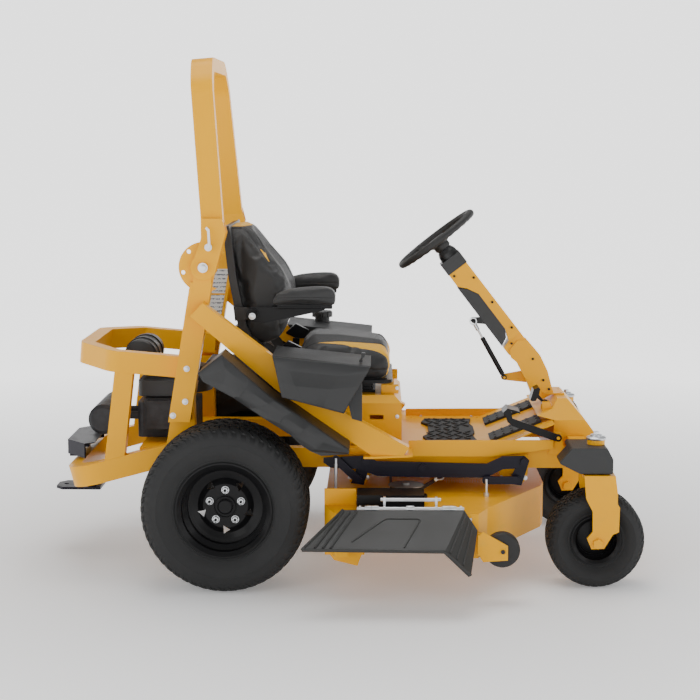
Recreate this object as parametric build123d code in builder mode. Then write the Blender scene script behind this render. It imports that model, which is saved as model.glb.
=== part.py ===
from build123d import *
import os
from math import atan2, cos, degrees, hypot, radians, sin, tan

os.makedirs("parts", exist_ok=True)

# The machine stands on Z = 0 and faces +X. Its rear axle is at X = 0 and its middle plane at Y = 0,
# so the driver's right-hand side is -Y. Everything is drawn there, and export moves it to the
# middle of the footprint.

RIGHT, LEFT = -1, 1
side_names = {RIGHT: "right", LEFT: "left"}
fit_gap = 0.3
running_gap = 0.05
steel_wall = 4

# Wheels
wheelbase = 1293
rear_tyre_radius = 292
rear_tyre_width = 267
rear_wheel_y = 516
rear_bead_radius = 152.5
rear_flange_radius = 168
rear_well_depth = 16.5
rear_rim_width = 222
rear_disc_in = 34
lug_count = 5
lug_circle = 57.5
lug_radius = 6
hub_radius = 34
front_tyre_radius = 170
front_tyre_width = 165
front_bead_radius = 76
front_flange_radius = 88
front_rim_width = 122
kingpin_y = 472
axle_radius = 9.5
kingpin_radius = 19
tube_wall = 12
fork_top = 408
fork_plate = 10
fork_play = 9

# Frame
rail_y = 300
rail_width = 50
rail_low = 385
rail_high = 455
rail_rear = -330
rail_front = 1215
beam_depth = 60
floor_half = 343
floor_z = 437
sheet = 4
side_wall_top = 487
floor_rear = 640
ramp_start = 936
ramp_end = 1162
ramp_top = 545

# Roll-over hoop and its uprights
upright_in = 380
tube_thin = 51
tube_wide = 76
pivot_x = -80
pivot_z = 1115
upright_lean = 9.6
hoop_lean = 4.8
hoop_base_x = -45
hoop_base_z = 1215
hoop_height = 628
hoop_top_half = 235
boss_radius = 45
quadrant_radius = 88
lock_reach = 75
lock_angle = 73.6
fold_step = 60.5
ear = 7
lock_pin_radius = 7

# Bumper
upper_loop_slope = 4.9
upper_loop_front_z = 794
upper_loop_front_x = -183
upper_loop_rear = -556
lower_loop_slope = 15
lower_loop_front_z = 472
lower_loop_front_x = -238
lower_loop_rear = -600
hitch_end = -691
hitch_z = 241
hitch_thick = 10
hitch_hole = 9.5

# Engine
engine_x = -256
crank_x = -214
engine_base = rail_high

# Seat
seat_half = 240
seat_pan_z = 676
cushion_z = 692
cushion_front = 597
cushion_rear = 208
arm_y = 299
arm_half = 37
arm_pivot_x = 81
arm_pivot_z = 932
recline_x = 150
recline_z = 745

# Steering
knee_x = 1066
knee_z = 770
column_angle = 37.5
column_half = 42
column_length = 392
collar_length = 50
wheel_distance = 526
wheel_radius = 172
grip_radius = 13
lift_pedal_pivot = (1174, 500)
strut_low = (1005, 667)
strut_high = (886, 879)
ball_radius = 7

# Deck
deck_half = 690
deck_rear = 345
deck_side_front = 872
deck_front = 1140
deck_front_half = 230
deck_top = 300
deck_low = 146
spindle_side_y = 440
spindle_side_x = 630
spindle_middle_x = 800
blade_radius = 226
pulley_groove = 48
blade_z = 165
chute_hinge_z = 320
chute_standoff = 12
chute_length = 178
chute_hinge_y = deck_half + chute_standoff
chute_reach = chute_hinge_y + chute_length
roller_x = 953
roller_z = 179
roller_radius = 60
lift_pivot_x = 1023
lift_pivot_z = 356
rear_lift_x = 460
lift_bar_y = 385
lift_arm = 108
crank_throw = (27, 64)
hanger_y = 404
shaft_radius = 14

# Overall extents, which place the finished machine on its row origin
extent_rear = hitch_end
extent_front = wheelbase + front_tyre_radius
extent_right = -chute_reach
extent_left = deck_half + 46
to_origin = Location((-(extent_rear + extent_front) / 2, -(extent_right + extent_left) / 2, 0))


def finish(pieces, name):
    """Writes one piece, or several separate pieces that make one node, as a named STEP file."""
    pieces = pieces if isinstance(pieces, list) else [pieces]
    solids = [solid for piece in pieces for solid in piece.part.moved(to_origin).solids()]
    whole = Compound(children=solids) if len(solids) > 1 else solids[0]
    whole.label = name
    export_step(whole, f"parts/{name}.step")


def slab(points, y_from, y_to, corner=0, mode=Mode.ADD):
    """Extrudes a side-view outline of (x, z) points between two values of y."""
    low, high = sorted((y_from, y_to))
    with BuildSketch(Plane.XZ.offset(-high)) as outline:
        with BuildLine():
            Polyline(*points, close=True)
        make_face()
        if corner:
            fillet(outline.vertices(), corner)
    extrude(outline.sketch, amount=high - low, mode=mode)


def plate(points, z_from, z_to, corner=0, mode=Mode.ADD):
    """Extrudes a plan outline of (x, y) points between two values of z."""
    with BuildSketch(Plane.XY.offset(z_from)) as outline:
        with BuildLine():
            Polyline(*points, close=True)
        make_face()
        if corner:
            fillet(outline.vertices(), corner)
    extrude(outline.sketch, amount=z_to - z_from, mode=mode)


def block(x_range, y_range, z_range, mode=Mode.ADD):
    """Adds a box between three pairs of limits."""
    ranges = [sorted(pair) for pair in (x_range, y_range, z_range)]
    with Locations(tuple((low + high) / 2 for low, high in ranges)):
        Box(*[high - low for low, high in ranges], mode=mode)


def rod(start, end, radius, mode=Mode.ADD):
    """Adds a round bar from one point to another."""
    run = Vector(*end) - Vector(*start)
    with BuildSketch(Plane(origin=start, z_dir=run)) as section:
        Circle(radius)
    extrude(section.sketch, amount=run.length, mode=mode)


def turned(points, centre, direction, corner=0, mode=Mode.ADD):
    """Turns an outline of (radius, distance along) points about a line through centre."""
    along = Vector(*direction).normalized()
    outward = Vector(0, 0, 1) if abs(along.Z) < 0.9 else Vector(1, 0, 0)
    outward = (outward - along * outward.dot(along)).normalized()
    with BuildSketch(Plane(origin=centre, x_dir=outward, z_dir=outward.cross(along))) as outline:
        with BuildLine():
            Polyline(*points, close=True)
        make_face()
        if corner:
            fillet(outline.vertices(), corner)
    revolve(outline.sketch, axis=Axis(centre, along), mode=mode)


def bolt(at, direction, radius, length, head=0.65):
    """Adds a hexagon bolt whose head stands on the surface at the point and whose shank goes in."""
    out = Vector(*direction).normalized()
    with BuildSketch(Plane(origin=at, z_dir=out)) as hexagon:
        RegularPolygon(radius=radius * 1.9, side_count=6)
    extrude(hexagon.sketch, amount=radius * 2 * head)
    rod(at, Vector(*at) - out * length, radius)


def band(points, plane, width, height, corner, wall=0):
    """Extrudes a tube of constant width along an open route in a plane, hollow if it has a wall."""
    for inset in [0, wall] if wall else [0]:
        with BuildSketch(plane.offset(inset)) as outline:
            with BuildLine():
                FilletPolyline(*points, radius=corner)
            trace(line_width=width - 2 * inset)
        extrude(outline.sketch, amount=height - 2 * inset, mode=Mode.SUBTRACT if inset else Mode.ADD)


def both_sides(make):
    """Calls a function once for each side and lists what it gives back."""
    return [make(side) for side in (RIGHT, LEFT)]


# ---------------------------------------------------------------- rear wheels

def rear_tyre(side):
    half = rear_tyre_width / 2
    seat = rear_bead_radius + fit_gap
    centre = (0, side * rear_wheel_y, rear_tyre_radius)
    with BuildPart() as tyre:
        outer = [
            (seat, -98), (172, -106), (212, -half + 4), (236, -half), (262, -half + 4), (283, -112),
            (rear_tyre_radius - 1, -92), (rear_tyre_radius, -40), (rear_tyre_radius, 40),
            (rear_tyre_radius - 1, 92), (283, 112), (262, half - 4), (236, half), (212, half - 4),
            (172, 106), (seat, 98), (seat, 80), (176, 88), (236, half - 14), (270, 100),
            (rear_tyre_radius - 18, 60), (rear_tyre_radius - 18, -60), (270, -100), (236, 14 - half),
            (176, -88), (seat, -80),
        ]
        turned(outer, centre, (0, side, 0))
    finish(tyre, f"rear_tyre_{side_names[side]}")


def rear_rim(side):
    half = rear_rim_width / 2
    centre = (0, side * rear_wheel_y, rear_tyre_radius)
    well_out = rear_bead_radius - rear_well_depth
    well_in = well_out - 5
    step = (well_in - 78) / 53
    wheel_plane = Plane(origin=(0, side * (rear_wheel_y + rear_disc_in - 14), rear_tyre_radius),
                        x_dir=(1, 0, 0), z_dir=(0, side, 0))
    with BuildPart() as rim:
        barrel = [
            (rear_flange_radius, half), (rear_flange_radius - 2, half - 5), (rear_bead_radius, half - 11),
            (rear_bead_radius, 70), (well_out, 56), (well_out, -56), (rear_bead_radius, -70),
            (rear_bead_radius, 11 - half), (rear_flange_radius - 2, 5 - half),
            (rear_flange_radius, -half), (rear_flange_radius - 6, -half),
            (rear_bead_radius - 5, 13 - half), (rear_bead_radius - 5, -73), (well_in, -58), (well_in, 58),
            (rear_bead_radius - 5, 73), (rear_bead_radius - 5, half - 13), (rear_flange_radius - 6, half),
        ]
        turned(barrel, centre, (0, side, 0))
        disc = [
            (hub_radius + 6, rear_disc_in - 6), (75, rear_disc_in - 6), (78 + 20 * step, rear_disc_in - 22),
            (78 + 42 * step, rear_disc_in - 14), (well_in, rear_disc_in - 10), (well_in, rear_disc_in - 2),
            (78 + 40 * step, rear_disc_in - 6), (78 + 20 * step, rear_disc_in - 14), (78, rear_disc_in),
            (hub_radius + 6, rear_disc_in),
        ]
        turned(disc, centre, (0, side, 0))
        with BuildSketch(wheel_plane.offset(-30)):
            with PolarLocations(86, lug_count, start_angle=54):
                Triangle(a=34, b=30, c=30)
        extrude(amount=60, mode=Mode.SUBTRACT)
        with BuildSketch(wheel_plane.offset(-30)):
            with PolarLocations(lug_circle, lug_count, start_angle=18):
                Circle(lug_radius + running_gap)
        extrude(amount=60, mode=Mode.SUBTRACT)
    return rim


def rear_hub(side):
    centre = (0, side * rear_wheel_y, rear_tyre_radius)
    face = rear_disc_in - 6
    with BuildPart() as hub:
        axle_end = -(rear_wheel_y - rail_y + 10)
        outline = [
            (0, axle_end), (17, axle_end), (17, face - 46), (44, face - 40), (44, face - 14),
            (hub_radius + 36, face - 12), (hub_radius + 36, face), (hub_radius, face),
            (hub_radius, face + 12), (27, face + 12), (27, face + 20), (22, face + 24), (0, face + 24),
        ]
        turned(outline, centre, (0, side, 0))
        for index in range(lug_count):
            angle = radians(18 + 360 / lug_count * index)
            at = (lug_circle * cos(angle), side * (rear_wheel_y + rear_disc_in),
                  rear_tyre_radius + lug_circle * sin(angle))
            bolt(at, (0, side, 0), lug_radius, 6, head=0.8)
            rod((at[0], at[1] + side * 6, at[2]), (at[0], at[1] + side * 16, at[2]), lug_radius - 1)
    return hub


# ---------------------------------------------------------------- front wheels and forks

fork_inner = front_tyre_width / 2 + fork_play


def front_tyre(side):
    half = front_tyre_width / 2
    seat = front_bead_radius + fit_gap
    crown = front_tyre_radius
    with BuildPart() as tyre:
        outer = [
            (seat, -52), (92, -56), (118, -half + 4), (134, -half), (150, -half + 4), (163, -66),
            (crown - 1, -50), (crown, -20), (crown, 20), (crown - 1, 50), (163, 66), (150, half - 4),
            (134, half), (118, half - 4), (92, 56), (seat, 52), (seat, 40), (98, 44),
            (132, half - 11), (152, 62), (crown - 12, 34), (crown - 12, -34), (152, -62),
            (132, 11 - half), (98, -44), (seat, -40),
        ]
        turned(outer, (wheelbase, side * kingpin_y, front_tyre_radius), (0, side, 0))
    finish(tyre, f"front_tyre_{side_names[side]}")


def front_rim(side):
    half = front_rim_width / 2
    hub_half = fork_inner - 1.5
    bore = axle_radius + running_gap
    centre = (wheelbase, side * kingpin_y, front_tyre_radius)
    with BuildPart() as rim:
        barrel = [
            (66, -22), (front_bead_radius, -34), (front_bead_radius, 8 - half), (front_flange_radius,
                                                                                 3 - half),
            (front_flange_radius, -half), (front_flange_radius - 5, -half), (front_bead_radius - 4, 6 - half),
            (front_bead_radius - 4, -32), (62, -20), (62, 20), (front_bead_radius - 4, 32),
            (front_bead_radius - 4, half - 6), (front_flange_radius - 5, half), (front_flange_radius, half),
            (front_flange_radius, half - 3), (front_bead_radius, half - 8), (front_bead_radius, 34), (66, 22),
        ]
        turned(barrel, centre, (0, side, 0))
        spokes = [(bore, -hub_half), (22, -hub_half), (22, -14), (64, -6), (64, 6), (22, 14),
                  (22, hub_half), (bore, hub_half)]
        turned(spokes, centre, (0, side, 0))
    finish(rim, f"front_rim_{side_names[side]}")


def caster_fork(side):
    inner = side * (kingpin_y - fork_inner)
    outer = side * (kingpin_y + fork_inner)
    x, y = wheelbase, side * kingpin_y
    blade = [(x - 51, fork_top), (x + 57, fork_top), (x + 66, 345), (x + 66, 310), (x + 74, 296),
             (x + 72, 210), (x + 52, 201), (x + 22, 151), (x - 22, 149), (x - 38, 187), (x - 19, 210),
             (x - 20, 282), (x - 43, 327)]
    with BuildPart() as fork:
        slab(blade, outer, outer + side * fork_plate)
        slab(blade, inner, inner - side * fork_plate)
        block((x - 51, x + 57), (inner, outer), (fork_top - 12, fork_top))
        rod((x, y, fork_top), (x, y, fork_top + 2.7), 30)
        rod((x, y, fork_top), (x, y, 514), kingpin_radius)
        edge = fork_inner + fork_plate
        rod((x, y - edge - 1, front_tyre_radius), (x, y + edge + 1, front_tyre_radius),
            axle_radius, mode=Mode.SUBTRACT)
    return fork


def caster_axle(side):
    x, y, z = wheelbase, side * kingpin_y, front_tyre_radius
    edge = fork_inner + fork_plate
    with BuildPart() as axle:
        bolt((x, y + edge, z), (0, 1, 0), axle_radius, 2 * edge)
        bolt((x, y - edge, z), (0, -1, 0), axle_radius, 2)
    return axle


# ---------------------------------------------------------------- frame

housing_low = fork_top + 3
housing_high = 518
housing_radius = 31


def lift_bracket(side):
    low, high = rail_y + rail_width / 2, rail_y + rail_width / 2 + 8
    outline = [(959, rail_low), (976, 345), (990, 328), (1046, 328), (1066, 345), (1070, rail_low)]
    slab(outline, side * low, side * high)
    rear = [(rear_lift_x - 50, rail_low), (rear_lift_x - 25, 326), (rear_lift_x + 25, 326),
            (rear_lift_x + 50, rail_low)]
    slab(rear, side * low, side * high)
    block((959, 1070), (side * low, side * high), (rail_low, rail_high - 20))
    block((rear_lift_x - 50, rear_lift_x + 50), (side * low, side * high), (rail_low, rail_high - 20))
    for x, z in ((lift_pivot_x, lift_pivot_z), (rear_lift_x, lift_pivot_z)):
        rod((x, side * (low - 1), z), (x, side * (high + 1), z), shaft_radius + running_gap,
            mode=Mode.SUBTRACT)


def upright_x(z, forward=0):
    """Gives the x of the upright's centre line, or of a line beside it, at height z."""
    lean = radians(upright_lean)
    return pivot_x - (pivot_z - z) * tan(lean) + forward / cos(lean)


def rail(side):
    edge = side * rail_y
    half = rail_width / 2
    block((rail_rear, rail_front), (edge - half, edge + half), (rail_low, rail_high))
    block((rail_rear - 1, rail_front + 1), (edge - half + steel_wall, edge + half - steel_wall),
          (rail_low + steel_wall, rail_high - steel_wall), mode=Mode.SUBTRACT)


def upright_foot(side):
    foot = [(-225, rail_low), (-120, rail_low), (upright_x(640, 36), 640), (upright_x(700, 36), 700),
            (upright_x(700, -36), 700), (upright_x(500, -36), 500), (-225, 480)]
    slab(foot, side * (rail_y + rail_width / 2), side * (upright_in - fit_gap))


with BuildPart() as main_frame:
    both_sides(rail)
    both_sides(upright_foot)
    inner = rail_y - rail_width / 2
    for x in (rail_rear, 480, rail_front - 50):
        block((x, x + 50), (-inner, inner), (rail_low, rail_high))
    block((rail_rear + 50, -120), (-inner, inner), (rail_high - 8, rail_high))
    both_sides(lift_bracket)
    pedal_x, pedal_z = lift_pedal_pivot
    foot = [(pedal_x - 34, rail_high - 20), (pedal_x + 26, rail_high - 20), (pedal_x + 14, pedal_z + 16),
            (pedal_x - 14, pedal_z + 16)]
    slab(foot, -rail_y - rail_width / 2, -rail_y - rail_width / 2 - 6)
    rod((pedal_x, -rail_y - rail_width / 2, pedal_z), (pedal_x, -floor_half - 18, pedal_z), 6)


def axle_end(side):
    rod((wheelbase, side * kingpin_y, housing_low), (wheelbase, side * kingpin_y, housing_high),
        housing_radius)
    block((rail_front, wheelbase), (side * (kingpin_y - 70), side * (kingpin_y - 20)), (430, 490))
    rod((wheelbase, side * kingpin_y, housing_low - 1), (wheelbase, side * kingpin_y, housing_high + 1),
        kingpin_radius + running_gap, mode=Mode.SUBTRACT)


with BuildPart() as front_axle_beam:
    block((rail_front, rail_front + beam_depth), (20 - kingpin_y, kingpin_y - 20), (425, 492))
    both_sides(axle_end)
finish([main_frame, front_axle_beam], "main_frame")

with BuildPart() as kingpin_caps:
    for side in (RIGHT, LEFT):
        dome = [(0, 0), (32, 0), (33, 3), (32, 8), (24, 13), (10, 17), (0, 18)]
        turned(dome, (wheelbase, side * kingpin_y, housing_high), (0, 0, 1))

rail_outer = rail_y + rail_width / 2 + fit_gap
spring_y = 352

with BuildPart() as helper_springs:
    for side in (RIGHT, LEFT):
        rod((767, side * spring_y, 346), (965, side * spring_y, 342), 11)
        rod((740, side * spring_y, 346.5), (988, side * spring_y, 341.5), 4)
        block((732, 744), (side * rail_outer, side * (spring_y + 6)), (342.6, rail_low + 20))
        rod((988, side * (rail_outer + 8), 341.5), (988, side * (spring_y + 6), 341.5), 5)
finish([kingpin_caps, helper_springs], "chassis_hardware")


def steering_cover(side):
    rear, front = wheelbase - 138, wheelbase + 49
    low, high = fork_top + 5, 502
    near, far = side * (kingpin_y - 88), side * (kingpin_y + 92)
    with BuildPart() as cover:
        profile = [(rear, 450), (rear + 45, high), (front - 20, high), (front, 464), (front, low),
                   (rear + 73, low)]
        slab(profile, near, far, corner=6)
        inside = [(rear + 8, 446), (rear + 48, high - 5), (front - 23, high - 5), (front - 5, 462),
                  (front - 5, low - 1), (rear + 78, low - 1)]
        slab(inside, near + side * 5, far - side * 5, mode=Mode.SUBTRACT)
        rod((wheelbase, side * kingpin_y, 440), (wheelbase, side * kingpin_y, high + 1),
            housing_radius + fit_gap, mode=Mode.SUBTRACT)
        block((rail_front - 60, rail_front + beam_depth + fit_gap),
              (near - side, side * (kingpin_y - 20 + fit_gap)), (400, 492 + fit_gap), mode=Mode.SUBTRACT)
        block((rail_front - 10, wheelbase + fit_gap),
              (near - side, side * (kingpin_y - 20 + fit_gap)), (400, 492 + fit_gap), mode=Mode.SUBTRACT)
    return cover


# ---------------------------------------------------------------- floor and body

def floor_side(side):
    wall = [(floor_rear, floor_z - 8), (floor_rear, side_wall_top), (920, side_wall_top + 2), (1158, 490),
            (1158, 458), (940, floor_z - 8)]
    slab(wall, side * (floor_half - sheet), side * floor_half)
    shelf = [(575, side * floor_half), (floor_rear + 12, side * floor_half), (floor_rear + 12, side * 470),
             (510, side * 505), (480, side * 505), (480, side * 460), (575, side * 400)]
    plate(shelf, floor_z + 14, floor_z + 22)


with BuildPart() as floor_pan:
    block((575, ramp_start), (sheet - floor_half, floor_half - sheet), (rail_high, rail_high + sheet))
    incline = degrees(atan2(ramp_top - rail_high, ramp_end - ramp_start))
    ramp = [(ramp_start, rail_high), (ramp_start, rail_high + sheet), (ramp_end, ramp_top + sheet),
            (ramp_end, ramp_top)]
    slab(ramp, sheet - floor_half, floor_half - sheet)
    both_sides(floor_side)
    block((575, floor_rear), (-floor_half, floor_half), (rail_high, rail_high + sheet))
    for x in (floor_rear + 22, ramp_start - 14):
        for y in (-300, 300):
            rod((x, y, rail_high - 1), (x, y, rail_high + sheet + 1), 5, mode=Mode.SUBTRACT)
finish(floor_pan, "floor_pan")

mat_top = rail_high + sheet + 9


def toe_pad(side):
    slope = radians(incline)
    lift = sheet + fit_gap
    outline = [(ramp_start + 6, 0), (ramp_start + 190, 0), (ramp_start + 190, 9), (ramp_start + 6, 9)]
    points = [(x - h * sin(slope), rail_high + lift + (x - ramp_start) * tan(slope) + h * cos(slope))
              for x, h in outline]
    slab(points, side * 105, side * 235)


with BuildPart() as floor_mats:
    mat = [(696, -150), (712, -228), (892, -228), (880, -120), (892, -60), (892, 60), (880, 120), (892, 228),
           (712, 228), (696, 150), (720, 100), (720, -100)]
    plate(mat, rail_high + sheet, mat_top)
    both_sides(toe_pad)
finish(floor_mats, "floor_mats")

seat_box_front = 616
seat_box_rear = 290
seat_box_half = 262
seat_box_top = 634

with BuildPart() as seat_box:
    low = rail_high + sheet
    block((seat_box_rear, seat_box_front), (-seat_box_half, seat_box_half), (low, seat_box_top))
    chamfer(seat_box.faces().sort_by(Axis.Z)[-1].edges(), 26)
    block((seat_box_rear + sheet, seat_box_front - sheet), (sheet - seat_box_half, seat_box_half - sheet),
          (low - 1, seat_box_top - 30), mode=Mode.SUBTRACT)
    block((500, 550), (-seat_box_half - 1, seat_box_half + 1), (low + 90, low + 106), mode=Mode.SUBTRACT)

body_rear = 1110
cowl_half = 262


with BuildPart() as front_body:
    silhouette = [(body_rear, 560), (ramp_end + 4, 578), (1192, 609), (1228, 609), (1288, 540), (1338, 470),
                  (1338, 440), (rail_front + beam_depth + fit_gap, 440),
                  (rail_front + beam_depth + fit_gap, 492 + fit_gap), (rail_front - fit_gap, 492 + fit_gap),
                  (rail_front - fit_gap, rail_high + fit_gap), (1168, rail_high + fit_gap), (1168, 548)]
    slab(silhouette, -cowl_half, cowl_half)
    with BuildSketch(Plane.YZ.offset(body_rear - 5)):
        with BuildLine():
            Polyline((-cowl_half, 400), (-cowl_half, 548), (-130, 612), (130, 612), (cowl_half, 548),
                     (cowl_half, 400), close=True)
        make_face()
    extrude(amount=300, mode=Mode.INTERSECT)
    under = [(1174, 497), (1174, 541), (1262, 541), (1332, 466), (1332, 439), (1281, 439), (1281, 497)]
    slab(under, 6 - cowl_half, cowl_half - 6, mode=Mode.SUBTRACT)
    crest = [(1180, 540), (1196, 602), (1224, 602), (1272, 540)]
    slab(crest, -118, 118, mode=Mode.SUBTRACT)


# ---------------------------------------------------------------- braces, uprights, hoop

brace_in = upright_in + tube_thin


def brace(side):
    outline = [(-124, 948), (-80, 995), (163, 809), (424, 606), (floor_rear, 487), (floor_rear - 20,
                                                                                    floor_z + 22),
               (506, floor_z + 22), (177, 689)]
    slab(outline, side * brace_in, side * (brace_in + tube_thin))
    hollow = [(-110, 945), (-80, 978), (160, 797), (420, 595), (560, 500), (520, 476), (184, 703)]
    slab(hollow, side * (brace_in + steel_wall), side * (brace_in + tube_thin - steel_wall),
         mode=Mode.SUBTRACT)


with BuildPart() as rops_braces:
    both_sides(brace)

upright_low = 566
quadrant_y = upright_in + tube_thin - 20


def upright(side):
    near, far = side * upright_in, side * (upright_in + tube_thin)
    half = tube_wide / 2
    cut = pivot_z - 52
    outline = [(upright_x(upright_low, -half), upright_low), (upright_x(upright_low, half), upright_low),
               (upright_x(cut, half), cut), (upright_x(cut, -half), cut)]
    slab(outline, near, far)
    hollow = [(upright_x(upright_low - 1, -half + 5), upright_low - 1),
              (upright_x(upright_low - 1, half - 5), upright_low - 1),
              (upright_x(cut - 12, half - 5), cut - 12), (upright_x(cut - 12, -half + 5), cut - 12)]
    slab(hollow, near + side * 5, far - side * 5, mode=Mode.SUBTRACT)
    rod((pivot_x, near, pivot_z), (pivot_x, far, pivot_z), boss_radius - 3)
    neck = [(upright_x(cut, 10 - half), cut), (upright_x(cut, half - 4), cut), (pivot_x + 38, pivot_z),
            (pivot_x - 38, pivot_z)]
    slab(neck, near, far)
    thick = 10
    rod((pivot_x, side * quadrant_y, pivot_z), (pivot_x, side * (quadrant_y + thick), pivot_z),
        quadrant_radius)
    for index in range(3):
        angle = radians(lock_angle + fold_step * index)
        at = (pivot_x + lock_reach * cos(angle), pivot_z + lock_reach * sin(angle))
        rod((at[0], side * (quadrant_y - 1), at[1]), (at[0], side * (quadrant_y + thick + 1), at[1]),
            lock_pin_radius + 0.6, mode=Mode.SUBTRACT)
    front_cut = [(pivot_x + 46, pivot_z + 44), (pivot_x + 120, pivot_z + 60), (pivot_x + 120, pivot_z - 100),
                 (upright_x(pivot_z - 70, 39), pivot_z - 70), (pivot_x + 40, pivot_z - 20)]
    slab(front_cut, side * (quadrant_y - 0.5), side * (quadrant_y + thick + 0.5), mode=Mode.SUBTRACT)
    rod((pivot_x, near - side, pivot_z), (pivot_x, far + side, pivot_z), 10 + running_gap, mode=Mode.SUBTRACT)


with BuildPart() as rops_uprights:
    both_sides(upright)
finish([rops_uprights, rops_braces], "rops_uprights")

hoop_up = Vector(-sin(radians(hoop_lean)), 0, cos(radians(hoop_lean)))
hoop_plane = Plane(origin=Vector(hoop_base_x, 0, hoop_base_z) - Vector(1, 0, 0) * (tube_wide / 2),
                   x_dir=(0, 1, 0), z_dir=Vector(0, 1, 0).cross(hoop_up))
leg_y = upright_in + tube_thin / 2


def hoop_ear(side):
    near, far = side * (upright_in - fit_gap), side * (upright_in + tube_thin + fit_gap)
    outline = [(pivot_x - 44, pivot_z), (pivot_x - 12, pivot_z - 43), (pivot_x + 20, pivot_z - 40),
               (pivot_x + 44, pivot_z - 10), (hoop_base_x + 45, hoop_base_z + 20), (hoop_base_x + 32,
                                                                                    hoop_base_z + 70),
               (hoop_base_x - 42, hoop_base_z + 70), (hoop_base_x - 42, hoop_base_z)]
    for start, away in ((near, -side), (far, side)):
        slab(outline, start, start + away * ear)
        rod((pivot_x, start, pivot_z), (pivot_x, start + away * ear, pivot_z), boss_radius)
    rod((pivot_x, near - side * ear, pivot_z), (pivot_x, far + side * ear, pivot_z), 10)
    for start, away in ((near - side * ear, -side), (far + side * ear, side)):
        bolt((pivot_x, start, pivot_z), (0, away, 0), 10, 1)
    angle = radians(lock_angle)
    at = (pivot_x + lock_reach * cos(angle), pivot_z + lock_reach * sin(angle))
    rod((at[0], far - side, at[1]), (at[0], far + side * (ear + 1), at[1]), lock_pin_radius + running_gap,
        mode=Mode.SUBTRACT)


with BuildPart() as rops_hoop:
    shoulder = leg_y - 88
    route = [(-leg_y, 0), (-shoulder, hoop_height - 100), (-hoop_top_half, hoop_height - tube_thin / 2),
             (hoop_top_half, hoop_height - tube_thin / 2), (shoulder, hoop_height - 100), (leg_y, 0)]
    band(route, hoop_plane, tube_thin, tube_wide, corner=90, wall=steel_wall)
    both_sides(hoop_ear)
finish(rops_hoop, "rops_hoop")


def lock_pin(side):
    angle = radians(lock_angle)
    x, z = pivot_x + lock_reach * cos(angle), pivot_z + lock_reach * sin(angle)
    face = side * (upright_in + tube_thin + fit_gap + ear)
    tip = side * (quadrant_y + 10 + 2)
    with BuildPart() as pin:
        rod((x, tip, z), (x, face + side * 34, z), lock_pin_radius)
        rod((x, face + side * 24, z), (x, face + side * 30, z), 13)
        grip = [(x, z - 5), (x + 9, z + 4), (x + 6, z + 62), (x - 4, z + 72), (x - 9, z + 66), (x - 2, z + 56),
                (x, z + 12), (x - 8, z + 2)]
        slab(grip, face + side * 30, face + side * 38)
    finish(pin, f"rops_lock_pin_{side_names[side]}")


# ---------------------------------------------------------------- bumper and hitch

loop_half = upright_in - fit_gap - tube_thin / 2


def loop_plane(front_x, front_z, slope):
    """Gives the plane of a loop's top face, which looks down and whose x runs rearward."""
    tilt = radians(slope)
    rearward = Vector(-cos(tilt), 0, sin(tilt))
    return Plane(origin=(front_x, 0, front_z), x_dir=rearward, z_dir=(-sin(tilt), 0, -cos(tilt)))


def upper_loop_bottom(x):
    slope = radians(upper_loop_slope)
    return upper_loop_front_z + (upper_loop_front_x - x) * tan(slope) - tube_wide / cos(slope)


def lower_loop_top(x):
    slope = radians(lower_loop_slope)
    return lower_loop_front_z - (lower_loop_front_x - x) * tan(slope)


with BuildPart() as bumper_upper_loop:
    reach = (upper_loop_front_x - upper_loop_rear) / cos(radians(upper_loop_slope)) - tube_thin / 2
    start = -70
    route = [(start, -loop_half), (reach - 125, -loop_half), (reach, -206), (reach, 206),
             (reach - 125, loop_half), (start, loop_half)]
    band(route, loop_plane(upper_loop_front_x, upper_loop_front_z, upper_loop_slope), tube_thin, tube_wide,
         corner=50, wall=steel_wall)
finish(bumper_upper_loop, "bumper_upper_loop")

with BuildPart() as bumper_lower_loop:
    reach = (lower_loop_front_x - lower_loop_rear) / cos(radians(lower_loop_slope)) - tube_thin / 2
    start = -60
    route = [(start, -loop_half), (reach, -loop_half), (reach, loop_half), (start, loop_half)]
    band(route, loop_plane(lower_loop_front_x, lower_loop_front_z, -lower_loop_slope), tube_thin, tube_wide,
         corner=110, wall=steel_wall)
    block((-225 - fit_gap, 0), (-500, 500), (300, 600), mode=Mode.SUBTRACT)


def post(side):
    near, far = side * (loop_half - tube_thin / 2 + 1), side * (loop_half + tube_thin / 2 - 1)
    outline = [(-407, upper_loop_bottom(-407)), (-341, upper_loop_bottom(-341)), (-376, lower_loop_top(-376)),
               (-448, lower_loop_top(-448))]
    slab(outline, near, far)
    hollow = [(-402, upper_loop_bottom(-402) - 4), (-347, upper_loop_bottom(-347) - 4),
              (-382, lower_loop_top(-382) + 4), (-442, lower_loop_top(-442) + 4)]
    slab(hollow, near + side * 4, far - side * 4, mode=Mode.SUBTRACT)


with BuildPart() as bumper_posts:
    both_sides(post)
finish([bumper_lower_loop, bumper_posts], "bumper_lower_loop")

with BuildPart() as hitch_plate:
    tilt = radians(lower_loop_slope)

    def bar_bottom(x):
        return lower_loop_top(x) - tube_wide / cos(tilt)

    outline = [(hitch_end, -34), (hitch_end + 26, -62), (-520, -62), (-520, 62), (hitch_end + 26, 62),
               (hitch_end, 34)]
    plate(outline, hitch_z, hitch_z + hitch_thick)
    rear = lower_loop_rear + 30
    web = [(rear, hitch_z + hitch_thick), (rear, bar_bottom(rear) - fit_gap), (-536,
                                                                               bar_bottom(-536) - fit_gap),
           (-536, hitch_z + hitch_thick)]
    slab(web, -50, 50)
    rod((hitch_end + 32, 0, hitch_z - 1), (hitch_end + 32, 0, hitch_z + hitch_thick + 1), hitch_hole,
        mode=Mode.SUBTRACT)

guard_rear = -628


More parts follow.
